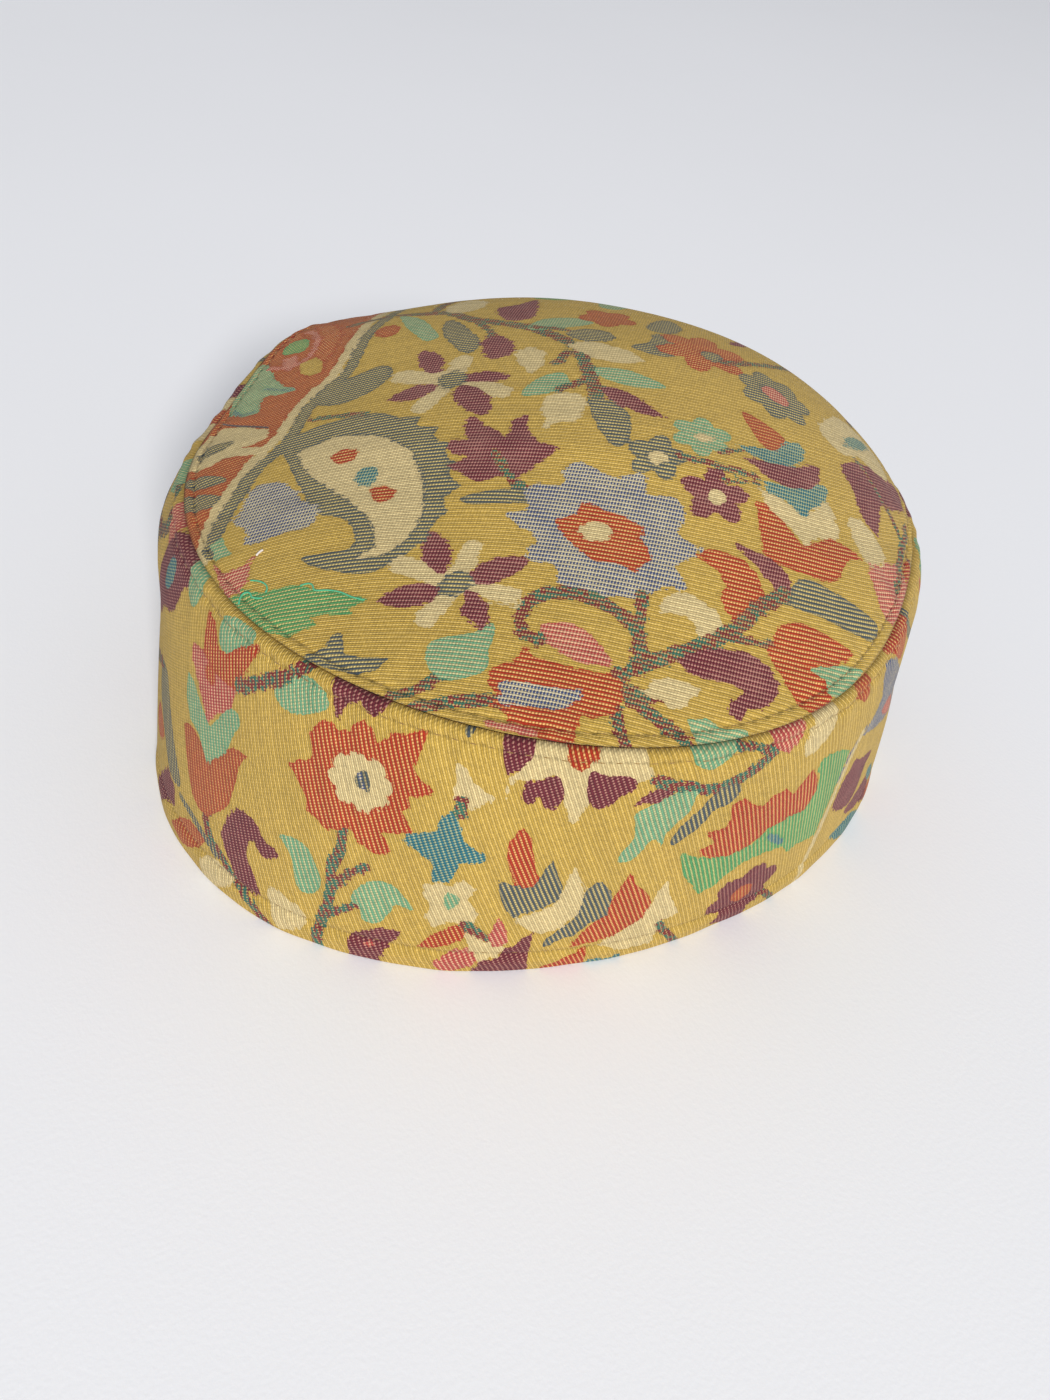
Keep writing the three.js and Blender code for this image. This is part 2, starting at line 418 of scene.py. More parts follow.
def rounded(points, closed=True):
    """A smooth line through the points, back to the first one if it is closed."""
    corners = np.array(points, float)
    if closed:
        wrapped = np.concatenate([corners[-1:], corners, corners[:2]])
    else:
        wrapped = np.concatenate([2 * corners[:1] - corners[1:2], corners, 2 * corners[-1:] - corners[-2:-1]])
    before, start, after, beyond = wrapped[:-3], wrapped[1:-2], wrapped[2:-1], wrapped[3:]
    places = []
    for step in range(ROUNDING_STEPS):
        t = step / ROUNDING_STEPS
        bend = 2 * before - 5 * start + 4 * after - beyond
        twist = 3 * start - before - 3 * after + beyond
        places.append(0.5 * (2 * start + (after - before) * t + bend * t**2 + twist * t**3))
    path = np.stack(places, 1).reshape(-1, 2)
    return path if closed else np.concatenate([path, corners[-1:]])


def distance_to_side(x, y, start, end):
    """How far each place lies from one straight side."""
    (ax, ay), (bx, by) = start, end
    dx, dy = bx - ax, by - ay
    share = np.clip(((x - ax) * dx + (y - ay) * dy) / (dx * dx + dy * dy + 1e-9), 0, 1)
    return np.hypot(x - ax - share * dx, y - ay - share * dy)


def distance_in_outline(x, y, corners):
    """How far inside a closed outline each place is, negative outside it."""
    nearest = np.full(x.shape, np.inf)
    inside = np.zeros(x.shape, bool)
    for start, end in zip(corners, np.roll(corners, -1, 0)):
        nearest = np.minimum(nearest, distance_to_side(x, y, start, end))
        (ax, ay), (bx, by) = start, end
        crosses = (ay > y) != (by > y)
        inside ^= crosses & (x < (bx - ax) * (y - ay) / ((by - ay) or 1e-9) + ax)
    return np.where(inside, nearest, -nearest)


def distance_in_line(x, y, points, width):
    """How far inside a line of even width each place is, negative outside it."""
    nearest = np.full(x.shape, np.inf)
    for start, end in zip(points, points[1:]):
        nearest = np.minimum(nearest, distance_to_side(x, y, start, end))
    return width / 2 - nearest


def distance_in_motif(motif, x, y):
    """How far inside a motif each place is, negative outside it."""
    if motif.form == "patch":
        return distance_in_outline(x, y, np.array(motif.points, float))
    if motif.form == "bean":
        return distance_in_outline(x, y, rounded(motif.points))
    if motif.form == "line":
        return distance_in_line(x, y, rounded(motif.points, closed=False), motif.sizes[0])
    if motif.form == "spot":
        long, wide, heading = motif.sizes
        (middle_x, middle_y), turn = motif.points[0], math.radians(heading)
        along = (x - middle_x) * math.cos(turn) + (y - middle_y) * math.sin(turn)
        aside = (y - middle_y) * math.cos(turn) - (x - middle_x) * math.sin(turn)
        return (1 - np.hypot(along / long, aside / wide)) * min(long, wide)
    reach, count, depth, heading, tall = motif.sizes
    aside, above = x - motif.points[0][0], (y - motif.points[0][1]) / tall
    angle = np.arctan2(above, aside) - math.radians(heading)
    edge = reach - depth * (1 - np.abs(np.cos(count * angle / 2)))
    return (edge - np.hypot(aside, above)) * PETAL_LEAN


def margin_of(motif):
    """How far a motif can reach past its own points."""
    if motif.form in ("line", "petals", "spot"):
        return max(motif.sizes[:2]) + REACH_OF_EDGE
    return REACH_OF_EDGE + ROUNDING_SWING


def weave_pattern(motifs, x, y):
    """For each yarn, how far inside its areas each place is; a later motif covers an earlier one."""
    areas = {yarn: np.full(x.shape, -REACH_OF_EDGE) for yarn in YARNS}
    areas["yellow"] += 2 * REACH_OF_EDGE
    for motif in motifs:
        points, margin = np.array(motif.points, float), margin_of(motif)
        low, high = points.min(0) - margin, points.max(0) + margin
        near = (x > low[0]) & (x < high[0]) & (y > low[1]) & (y < high[1])
        if not near.any():
            continue
        inside = distance_in_motif(motif, x[near], y[near])
        for yarn, area in areas.items():
            if yarn == motif.yarn:
                area[near] = np.maximum(area[near], inside)
            else:
                area[near] = np.minimum(area[near], -inside)
    return {yarn: np.clip(area, -REACH_OF_EDGE, REACH_OF_EDGE) for yarn, area in areas.items()}


def crown_chart(plan):
    """Places of the crown's plan on its chart."""
    cosine, sine = math.cos(CROWN_CHART_TURN), math.sin(CROWN_CHART_TURN)
    u = plan[..., 0] * cosine + plan[..., 1] * sine
    v = plan[..., 1] * cosine - plan[..., 0] * sine
    return u, v


STRIPE = [
    (-34, 90), (-38, 70), (-41, 60), (-43, 53), (-46, 45), (-49.5, 35), (-52, 28), (-55, 21),
    (-59.5, 16), (-63, 9), (-66, 1), (-70, -5), (-74, -13), (-77, -20), (-79.5, -29), (-81, -38),
]  # fmt: skip

CROWN_MOTIFS = [
    # The border past the cream stripe, and what grows on it.
    patch("rust", *STRIPE, (-100, -38), (-100, 90)),
    bean("vermilion", (-58, 56), (-54, 54), (-52, 44), (-56, 30), (-59, 38), (-58, 48)),
    bean("vermilion", (-67, 52), (-62, 56), (-62, 49), (-66, 47)),
    bean("green", (-66.5, 43), (-65, 47.5), (-61.5, 48), (-60, 44.5), (-61, 40.5), (-64, 41)),
    patch("yellow", (-62, 29), (-62, 34), (-58.5, 34.5), (-56.6, 31), (-57, 25.5), (-60, 26)),
    patch("pink", (-66, 40), (-63, 39.5), (-62.6, 35), (-64.5, 32), (-66.5, 35)),
    patch("mint", (-70.5, 42), (-69, 36.5), (-68, 31), (-66, 26), (-62.5, 21), (-67, 21.5), (-70, 23),
          (-71, 20), (-71, 15.5), (-75, 15.5), (-78.5, 19.5), (-78, 25), (-80, 28), (-79.5, 33), (-77, 36),
          (-75.5, 39), (-74, 42)),
    line("teal", 1.0, (-77, 20), (-75, 16.5), (-72, 17)),
    line("teal", 1.0, (-70, 27), (-66, 23.4), (-64, 22)),
    line("pink", 1.5, (-69.5, 37), (-64, 34), (-59.5, 37), (-58, 46.5), (-60, 52)),
    patch("cream", (-88, -2), (-87, 4), (-83.5, 7), (-82.5, 10.5), (-79, 12), (-74, 10), (-71, 7),
          (-68.5, 5.5), (-68.5, 2), (-71, 0), (-75, 0), (-69, -2), (-70.5, -4.5), (-75, -3.6),
          (-78, -3.4), (-80, -5.6), (-84, -6.5), (-87, -5)),
    bean("slate", (-84.5, 0), (-82.5, 2), (-80, 3.8), (-76.5, 3.4), (-78, 1.2), (-81, -0.4), (-83, -2)),
    bean("slate", (-87, -10), (-82, -9), (-77, -11), (-78, -13), (-84, -13.5)),
    bean("slate", (-87, -16), (-82, -15.5), (-77, -18), (-79, -21), (-86, -21)),
    line("cream", 2.8, *STRIPE),
    line("slate", 3.0, (-30, 90), (-34, 70), (-38, 56), (-42, 45), (-46, 37), (-48.5, 29), (-51, 21.5),
         (-56, 16), (-60, 9.5), (-64, -2), (-70, -10), (-74.5, -20), (-77, -27), (-79, -36)),
    # The paisley and the leaf under it.
    bean("slate", (-65, -3), (-57, 1), (-45, 0), (-39, -5.5), (-34, -11), (-30.8, -19), (-31.5, -22),
         (-30.5, -29), (-33.5, -30), (-33.7, -35), (-38, -41.5), (-46, -46.3), (-52, -45.5), (-58.5, -42.5),
         (-60, -40), (-55, -39.7), (-51, -39.5), (-50, -36), (-52, -31.3), (-58.5, -28), (-60, -23),
         (-62, -17), (-64, -10)),
    patch("slate", (-40, -4), (-35.5, -5), (-37, -8), (-32, -10), (-34, -13), (-29.5, -16), (-32, -18),
          (-28.8, -22), (-31, -24), (-28.5, -28), (-32, -29), (-31.5, -34), (-35, -36), (-35.5, -40.5),
          (-40, -42), (-42, -30), (-44, -12)),
    bean("cream", (-61, -7.5), (-54.5, -5.2), (-50, -6), (-45.3, -7.8), (-41.5, -11.5), (-38, -16.5),
         (-36, -25.5), (-37, -34.5), (-41, -40.3), (-45, -42.2), (-49.7, -42.4), (-46.4, -40), (-46, -36.5),
         (-47.5, -31.5), (-51, -26.5), (-55, -21.5), (-59, -16), (-61, -11)),
    bean("vermilion", (-54.8, -11.5), (-52.5, -10), (-49.5, -11), (-50, -13.5), (-53, -14.4)),
    spot("teal", -47.3, -19.9, 2.9, 2.4, 100),
    bean("vermilion", (-46.8, -24.5), (-44.5, -23.6), (-41.6, -25.3), (-42.6, -27.8), (-45.5, -28)),
    bean("blue_white", (-70, -16.8), (-65, -16.6), (-62.5, -19), (-59.5, -25), (-57.4, -26), (-57.2, -29.5),
         (-60.5, -32), (-64.5, -32.4), (-71, -34.5), (-71.5, -30), (-74.5, -27), (-73, -24), (-72, -19.5)),
    patch("mint", (-78.6, -33), (-76.4, -31), (-75.4, -34), (-74, -36.4), (-77.5, -37.4)),
    patch("pink", (-78, -38.5), (-76, -41), (-74.2, -41.5), (-69.5, -38), (-70.5, -43), (-72, -47.5),
          (-75.5, -48.5), (-76.5, -44.5)),
    patch("green", (-75, -49.5), (-71, -46.5), (-67, -48), (-62, -46.8), (-58.5, -48), (-56, -49),
          (-52, -50.6), (-47.5, -53), (-51.5, -54), (-50, -55.6), (-56, -55.2), (-58.5, -55.5), (-57, -57.5),
          (-62.8, -59.6), (-67, -58.4), (-70.5, -55), (-73, -52)),
    patch("slate", (-54.5, -60), (-52.4, -59.6), (-52, -64.5), (-48.5, -65.6), (-43.5, -66.3),
          (-46.2, -68.8), (-50.5, -69.2), (-56.2, -67.6), (-59, -65.6), (-61, -65), (-55.3, -62.6)),
    # The lower flower of eight narrow petals, maroon and cream in turn.
    line("cream", 4.2, (-30.5, -51.2), (-41, -45.5)),
    line("cream", 4.0, (-30.5, -51.2), (-27, -43.5)),
    line("cream", 4.4, (-30.5, -51.2), (-36.5, -58.5)),
    line("cream", 4.0, (-30.5, -51.2), (-20, -55.5)),
    bean("maroon", (-33, -49), (-37, -44), (-34.5, -38.2), (-31, -43)),
    bean("maroon", (-34, -52), (-39, -50.2), (-46, -53.2), (-40, -55.5), (-35, -54.6)),
    bean("maroon", (-29, -53.5), (-29.5, -58.5), (-25.4, -62), (-24.8, -57.5), (-26.5, -54)),
    bean("maroon", (-27.5, -51.5), (-23, -52.3), (-16, -48.2), (-21.5, -46.5), (-26.5, -48.5)),
    spot("slate", -30.5, -51.2, 3.6, 2.5, 20),
    # The upper flower of the same kind.
    line("cream", 4.6, (-28.3, 6.2), (-25.5, 13)),
    line("cream", 5.0, (-28.3, 6.2), (-39, 12.5)),
    line("cream", 4.6, (-28.3, 6.2), (-35.5, -2)),
    line("cream", 4.0, (-28.3, 6.2), (-18, -2.5)),
    bean("maroon", (-31, 10), (-34.5, 13), (-35, 20), (-33, 21), (-29.6, 16)),
    bean("maroon", (-32, 5.5), (-36.5, 7.2), (-42.5, 4.2), (-37.5, 1.4), (-33, 2.6)),
    bean("maroon", (-27.5, 3), (-28, -3), (-23, -9.3), (-20.5, -5.5), (-23.5, 1)),
    bean("maroon", (-25.5, 6.4), (-20.5, 6.2), (-16, 3), (-19, 2), (-25, 3.8)),
    spot("slate", -28.3, 6.2, 3.2, 3.2),
    # Maroon palmate leaf on its stem, with the pointed leaf beside it.
    patch("maroon", (-25.3, -8.4), (-22.6, -12.4), (-20.3, -14.6), (-18.2, -17), (-16.6, -12.4),
          (-13.4, -11.2), (-13.8, -17), (-12, -19.6), (-7.2, -22.6), (-10.8, -23.8), (-13, -25.7),
          (-17, -28.4), (-20.3, -27.4), (-25.3, -27.6), (-31, -21.6), (-26.4, -20.4), (-30.6, -18),
          (-30.4, -14.6), (-26.4, -15.8), (-27, -11.6)),
    line("stem", 2.0, (-21, -20.5), (-19, -27), (-16, -31)),
    bean("slate", (-29, -31), (-22.8, -30.2), (-15.3, -31.3), (-15, -34.7), (-21, -33.8), (-26.6, -33)),
    # The great round blossom.
    bean("blue_white", (-15.3, -31), (-8, -31), (-7.6, -28.4), (-5.3, -26), (-2.5, -27), (0, -29.4),
         (3.4, -30.6), (8.8, -29.6), (9.2, -34.5), (14.9, -35.3), (16.6, -39), (14.8, -43.6), (18.9, -46),
         (17.4, -48.4), (13, -50.5), (15, -55), (9.7, -55), (5, -57.6), (0.2, -56.8), (-4.5, -57),
         (-10.8, -53), (-11, -49.5), (-16.4, -47.8), (-16, -44.8), (-14, -43.2), (-19.8, -37), (-15.2, -36)),
    patch("vermilion", (-10.3, -39.4), (-6.4, -38.2), (-3.7, -35.6), (0, -38), (4, -39.4), (7.6, -42),
          (7, -45.2), (8.4, -49), (4.6, -51.8), (1.3, -50), (-3.9, -49.2), (-6.4, -46.2), (-8.8, -43.6)),
    spot("cream", -2.4, -42.6, 3.4, 2.3, -10),
    # Small flowers on the branch to the right of it.
    petals("mint", 7.2, 6, 2.4, 20, 23.2, -19.2, 0.8),
    spot("cream", 23.4, -19.8, 2.0, 1.5),
    petals("slate", 6.8, 5, 2.6, 0, 12.2, -25.6, 0.84),
    spot("cream", 12.2, -26, 2.2, 1.7),
    petals("maroon", 7.8, 5, 3.2, 12, 24, -33.8, 0.8),
    spot("cream", 24.2, -34.2, 2.1, 1.8),
    line("stem", 1.7, (17, -25.4), (25, -26.8), (34, -27.2)),
    line("stem", 1.3, (26, -30), (34.5, -29)),
    line("stem", 1.1, (26.5, -23), (32, -21)),
    # The layered tulip, row over row.
    bean("rust", (34.7, -8.6), (39.7, -10.5), (44.5, -13.6), (41.3, -18), (38, -17.8), (35.3, -13)),
    patch("teal", (31, -19.6), (36, -18.8), (41.3, -18), (44.7, -14), (48.2, -12.8), (49.6, -14.3),
          (48.2, -17.6), (45, -21), (39.7, -22.6), (34.7, -22)),
    patch("maroon", (31.4, -23), (38, -22.4), (44.7, -21.1), (48.8, -18.6), (52.6, -17.4), (52, -21),
          (48.3, -25.3), (43.8, -27.6), (38, -26.6)),
    patch("teal", (35.6, -27.8), (43, -27.2), (48, -25.3), (52.4, -22), (53.8, -23), (52.6, -26),
          (49.7, -28.8), (47.2, -31.7), (44.7, -33.6), (40.5, -31), (37, -30.3)),
    patch("cream", (34.4, -30.2), (40, -31.2), (44.7, -33.4), (49, -29.6), (53.2, -26), (54.6, -32.2),
          (53.2, -35.7), (48, -37), (44.2, -40.4), (39.7, -36.5), (35.3, -34)),
    patch("vermilion", (33, -33.4), (35.5, -34), (39.7, -36.5), (43.6, -40.6), (48, -38), (51.3, -35.6),
          (55.5, -35.2), (60.6, -36), (56.5, -38), (54.2, -40.5), (51.6, -45), (47.2, -46.8),
          (36.3, -46.8), (33, -45)),
    # Right of the tulip, out to the seam.
    bean("maroon", (60, -13.5), (64, -8.6), (71, -4.2), (77, -2), (84, 2), (85, -4), (79, -11),
         (73, -14.6), (70.4, -19), (67.8, -26), (63.6, -23.5), (62, -17)),
    line("stem", 1.5, (63, -3), (69.5, -8.4), (74, -14), (80, -24)),
    bean("cream", (56, -4), (60, 2), (66, 9), (74, 11), (80, 8), (80, 0), (74, -3.6), (68, -4), (62, -8)),
    spot("teal", 70, 2.4, 7.6, 1.7, 44),
    bean("cream", (58.6, -26.6), (64.7, -26), (69, -30), (67.5, -33), (62.2, -36.4), (58.4, -31.6)),
    bean("pink", (61.6, -38), (66, -34), (70, -31), (75, -29.6), (76.5, -34.5), (72, -41.5), (68, -46.5),
         (64, -45.4), (62.6, -41)),
    bean("vermilion", (76, -28), (80, -24), (81, -31), (77.6, -35)),
    line("stem", 2.0, (82, -13), (77, -23), (71.6, -36)),
    bean("maroon", (26.5, -44), (31.3, -45), (35.5, -46.6), (38.4, -48.8), (37.4, -52.4), (34.5, -52.4),
         (31, -48.4)),
    bean("slate", (35, -54.8), (38.5, -51), (42.4, -47.8), (49.7, -48.2), (56.3, -48.6), (61.8, -50),
         (59.7, -54), (54, -55.2), (44.7, -55.2)),
    # Below the blossom: crescents, the pink leaf in its loop and the long stems.
    bean("vermilion", (18.2, -48), (20.5, -46.2), (24.7, -46.7), (28.8, -48), (31.2, -51.3), (31.4, -55),
         (29, -58.5), (26, -60.4), (22.6, -58.8), (21.8, -56), (23.2, -53.8), (22, -50.8)),
    patch("cream", (8.2, -60.4), (9.3, -58), (11.5, -56.3), (14.5, -55.8), (17.5, -57.2), (20, -58.8),
          (21.6, -61.2), (22.2, -63.2), (20, -64.4), (16.8, -65.4), (15.8, -64), (15.8, -62.2), (13.8, -60.6),
          (10.8, -60.2)),
    bean("pink", (-15, -62.3), (-11, -61.6), (-7.6, -62.6), (-4.2, -66), (-1.6, -70.4), (-8, -69.7),
         (-13.2, -66.4)),
    line("stem", 2.8, (-15.5, -64.8), (-18.2, -63), (-18.7, -60), (-16.6, -56.8), (-12, -55.4),
         (-5.3, -56.8), (0, -59.8), (3, -63), (4.4, -68.4)),
    line("stem", 2.6, (5.5, -56.8), (4.6, -61.3), (3.4, -68.8)),
    line("stem", 2.9, (-1, -72.4), (5.5, -69.9), (10.5, -68.2), (18, -65.6), (24.7, -61.5), (31.3, -56.5),
         (37, -52.6)),
    line("stem", 1.8, (22.2, -64), (34, -64)),
    line("stem", 2.7, (-0.3, -75.6), (3.4, -78.2), (7, -81), (12, -84.6)),
    line("stem", 2.6, (-0.8, -75.8), (6.2, -76.2)),
    line("stem", 2.4, (-2.4, -77), (-1.6, -81.5), (-0.5, -86)),
    line("stem", 2.2, (-44, -74.6), (-38.7, -73.6), (-34, -70.5)),
    line("stem", 2.8, (-40, -77.6), (-32, -76.2), (-22.8, -76.6)),
    bean("vermilion", (32, -64), (33.8, -60.4), (39.7, -58), (46.3, -58.5), (52.2, -60), (48, -63.2),
         (44.7, -64.9), (40.8, -66.2), (44.7, -68), (45.8, -70.7), (43, -73.8), (38.4, -74.6), (35.2, -72.2),
         (32.8, -68.8), (31, -65.8)),
    patch("mint", (39.8, -66.4), (44.7, -64.9), (49.7, -63), (55.4, -62), (52, -66.4), (48, -70.2),
          (44.7, -70), (44.2, -67.8)),
    bean("maroon", (11.6, -69.3), (17.2, -67), (23, -66), (28.8, -67.4), (32, -69.7), (31.6, -73.2),
         (28, -76.4), (25, -77), (23, -79.4), (21, -78.4), (21.6, -76), (24.4, -74), (22.2, -72.7),
         (18, -72.4), (13.8, -71.5)),
    patch("cream", (4, -75.6), (5.4, -73.2), (9, -72.6), (12, -73), (15.4, -74), (14, -76), (12.4, -77.4),
          (8.8, -78.4), (7.2, -76.8), (5.8, -76.6)),
    patch("mint", (12, -80), (16, -79.4), (19, -81), (24.5, -81), (26, -84), (14, -85)),
    bean("mint", (-23.6, -61), (-25, -66.3), (-26, -70.3), (-32, -72), (-35.5, -70.6), (-37, -67.2),
         (-36, -63.8), (-32, -62.8), (-27.8, -62.4)),
    patch("vermilion", (-25.4, -71), (-23, -69.4), (-20.5, -69), (-18, -65.6), (-16.5, -68.5), (-14, -69),
          (-11, -70.3), (-7.5, -71), (-3, -72), (0.2, -73.6), (-0.4, -76.8), (-1.8, -79.6), (-6, -80.6),
          (-8.4, -79.8), (-9.6, -82), (-10.6, -85.6), (-16.5, -84.4), (-19, -83.4), (-22, -81), (-23, -78.4),
          (-25, -77), (-24, -75), (-25.4, -73.4)),
    patch("blue_white", (-23.6, -73.2), (-21, -72.6), (-17, -73.6), (-11.5, -74.8), (-7.6, -74.9),
          (-8.6, -76.8), (-11, -78.4), (-13.5, -78.8), (-17, -78), (-20.5, -77.4), (-23.6, -77.2)),
    line("pink", 1.8, (-26, -81), (-18, -83.2)),
    # The long branch from the middle up to the far side, with its leaves.
    line("stem", 3.2, (-33.7, 45), (-26.5, 42), (-22, 35), (-17, 30.5), (-9, 24), (-3.7, 17), (0, 10.3),
         (1, 2), (1.6, -8)),
    line("stem", 2.2, (-50, 48), (-41, 49), (-33.7, 45)),
    line("stem", 1.8, (-59, 4.5), (-53, 2.8), (-47.5, 1.2)),
    bean("slate", (-59, 12), (-55.5, 18), (-50, 18.5), (-43.7, 20), (-41, 17), (-42.8, 12), (-48.7, 8.5),
         (-54, 8)),
    bean("mint", (-38, 46), (-35, 43), (-32.6, 38.7), (-30.6, 31.2), (-30.1, 26.6), (-33, 25.8),
         (-35, 30.3), (-37, 36.2)),
    spot("rust", -41.4, 36, 3.0, 3.4),
    bean("slate", (-28.6, 33), (-26, 36), (-22.8, 28), (-21, 20.3), (-22, 16.6), (-25, 16), (-27.4, 21.2),
         (-28.8, 27)),
    bean("maroon", (-20.6, 19), (-18, 23), (-14, 17.2), (-14.6, 11.6), (-18.7, 10.6), (-21, 14.5)),
    line("stem", 2.0, (-20.5, 33), (-17.5, 22)),
    bean("maroon", (-15, 40), (-9, 42.5), (-4, 47.5), (-5.4, 37), (-7.4, 30.6), (-13.5, 30.4)),
    bean("mint", (-10, 24), (-5, 29), (3, 29), (6, 25), (0, 22.6), (-6, 22)),
    line("stem", 1.8, (-8, 24), (-3, 22), (2, 19.6)),
    bean("slate", (-1.5, 19), (4, 21.5), (9, 18.4), (8.6, 14.2), (2, 14.4)),
    patch("cream", (-14.5, 12), (-10.5, 14), (-7.3, 10.5), (-8.4, 5), (-11.5, 2.6), (-13.5, 6)),
    bean("cream", (-2, 12.6), (4, 13.6), (11, 9), (14, 4.4), (8, 4), (1, 8)),
    bean("mint", (-14.4, -4.6), (-10.4, 0.4), (-4.6, 1.4), (-4, -3), (-9, -5.4)),
    line("stem", 2.2, (-5.6, 5.4), (-2.4, 9.6)),
    patch("cream", (-11, -10), (-9, -6), (-5.5, -5.4), (-2.4, -6.2), (-0.8, -9), (-1.5, -12), (-4, -15.2),
          (-7, -14.8), (-11, -16.6), (-10, -13)),
    line("stem", 2.4, (-6, -4.4), (0.4, -1.6)),
    bean("mint", (2.6, 2.2), (9.6, 1), (17.6, -4.6), (10.6, -5), (4, -1.6)),
    bean("maroon", (3.2, -4.4), (8.6, -7), (15.8, -14.8), (9, -12.8), (4, -8.6)),
    bean("slate", (-0.4, -9), (4.4, -9.6), (7.8, -14.5), (6.6, -21.6), (3.4, -23), (0.8, -18)),
    petals("rust", 7.2, 5, 2.2, 40, 10.5, 30),
    bean("slate", (12, 11), (17, 14), (20, 20), (24.5, 17), (25, 10), (19, 7)),
    bean("slate", (18.6, 23), (23, 32), (28, 35), (28.6, 27), (24, 21)),
    petals("vermilion", 11.3, 6, 4.6, 12, 29.6, 12.5, 0.9),
    spot("slate", 31.6, 10.4, 2.9, 2.6),
    line("stem", 2.0, (33.8, 8.7), (42, 12), (51.3, 18.7), (57, 25)),
    petals("slate", 9.6, 7, 2.4, 0, 45.4, 1, 0.9),
    spot("pink", 45.4, 1, 3.4, 2.6, -20),
    bean("maroon", (40, 24), (45, 33), (51, 45), (50, 36), (45, 27)),
    line("stem", 1.8, (80, 31), (76, 22), (72, 13)),
    # The far side, which the picture sees edge on or not at all, with motifs of the same kinds.
    bean("cream", (-27, 44), (-24, 52), (-19, 56), (-16, 50), (-18, 43), (-23, 41)),
    line("stem", 2.6, (-30, 44), (-22, 60), (-8, 64), (10, 62), (25, 66), (48, 66), (61, 50), (63, 38)),
    bean("maroon", (-10, 70), (-4, 76), (2, 82), (3, 72), (-2, 66)),
    bean("mint", (11, 42), (14, 54), (18, 62), (22, 58), (20, 48), (15, 40)),
    petals("vermilion", 9.5, 6, 3.8, 5, 46, 56),
    spot("slate", 47, 57, 2.8),
    petals("rust", 7.5, 5, 2.6, 30, 22, 74),
    spot("cream", 22, 74, 2.2),
    bean("slate", (28, 60), (31, 70), (37, 74), (38, 66), (33, 58)),
    bean("slate", (64, 56), (68, 50), (76, 44), (72, 42), (66, 46)),
    bean("green", (-4, 52), (2, 58), (9, 57), (5, 50), (0, 48)),
    petals("blue_white", 8.0, 7, 2.4, 0, -20, 73),
    spot("vermilion", -20, 73, 3.2),
    bean("teal", (30, 44), (34, 51), (39, 50), (37, 43)),
    bean("cream", (58, 30), (62, 36), (68, 35), (66, 28)),
]  # fmt: skip

TULIPS = [
    line("stem", 3.0, (20.5, 24), (20, 19), (21.5, 14.5), (25, 12), (30, 8), (35, 4), (39, 0)),
    line("slate", 2.2, (9, 16), (16, 14.5), (24, 11)),
    patch("rust", (9.6, 38), (12, 40), (15, 40), (18, 37.8), (20, 34.6), (22, 38.5), (25, 42.8), (28, 45.8),
          (32, 46), (30, 42), (29, 36), (27.6, 30), (26, 26.6), (22.6, 22.6), (20.5, 20), (17, 19.5),
          (14.3, 21.6), (12.6, 26), (11.2, 31)),
    patch("mint", (10, 52.6), (13, 51.8), (18, 47), (20, 45.2), (22.4, 49), (25.4, 54.6), (28.6, 55),
          (29.6, 53), (27, 47), (25.6, 42), (22.6, 39), (20, 34.6), (18, 38), (16, 40.6), (12.4, 41.5),
          (10.2, 46)),
    patch("pink", (11.2, 60.6), (16, 61.4), (22, 60), (27.8, 60), (26.2, 55), (24, 52), (21, 48.4),
          (19.6, 45.6), (17.4, 49), (14, 54), (11.6, 57)),
    patch("vermilion", (15, 71), (18.4, 70), (20.6, 65.6), (22.5, 65.8), (25.2, 69), (29, 72.4),
          (32, 72.8), (30, 67), (28.6, 63), (27.7, 59.6), (22, 59.4), (15.8, 61)),
    spot("vermilion", 19, 58, 1.8, 2.2),
    bean("mint", (20, 71), (20.6, 67.4), (22.8, 65.8), (26, 69), (30, 72.6), (29.4, 74.4), (25, 74.4),
         (21, 73.4)),
    patch("rust", (4, 4), (8, 9), (13.5, 13), (20, 12), (17, 7), (10, 2)),
    bean("cream", (18, 3), (22, 9), (29.5, 7.4), (26, 2), (20, 0)),
    line("stem", 3.2, (28.6, 61.6), (32, 64.6), (36, 68), (40, 71), (43, 76)),
    bean("mint", (37, 66.4), (40, 69), (43, 72.6), (47, 72.3), (49.8, 69.5), (47, 66.4), (43, 63.8),
         (39.6, 63.4)),
    bean("maroon", (25.4, 20), (26.8, 24.4), (29, 28.6), (32.5, 30.8), (35.6, 29.6), (37.6, 26.4),
         (41.4, 24.3), (39, 21.4), (37, 21.4), (34.8, 23.6), (33.4, 21.4), (33.3, 17.5), (35.4, 13.5),
         (37.2, 8.5), (34.5, 7.3), (31, 8.5), (28, 13), (26, 16.5)),
]  # fmt: skip

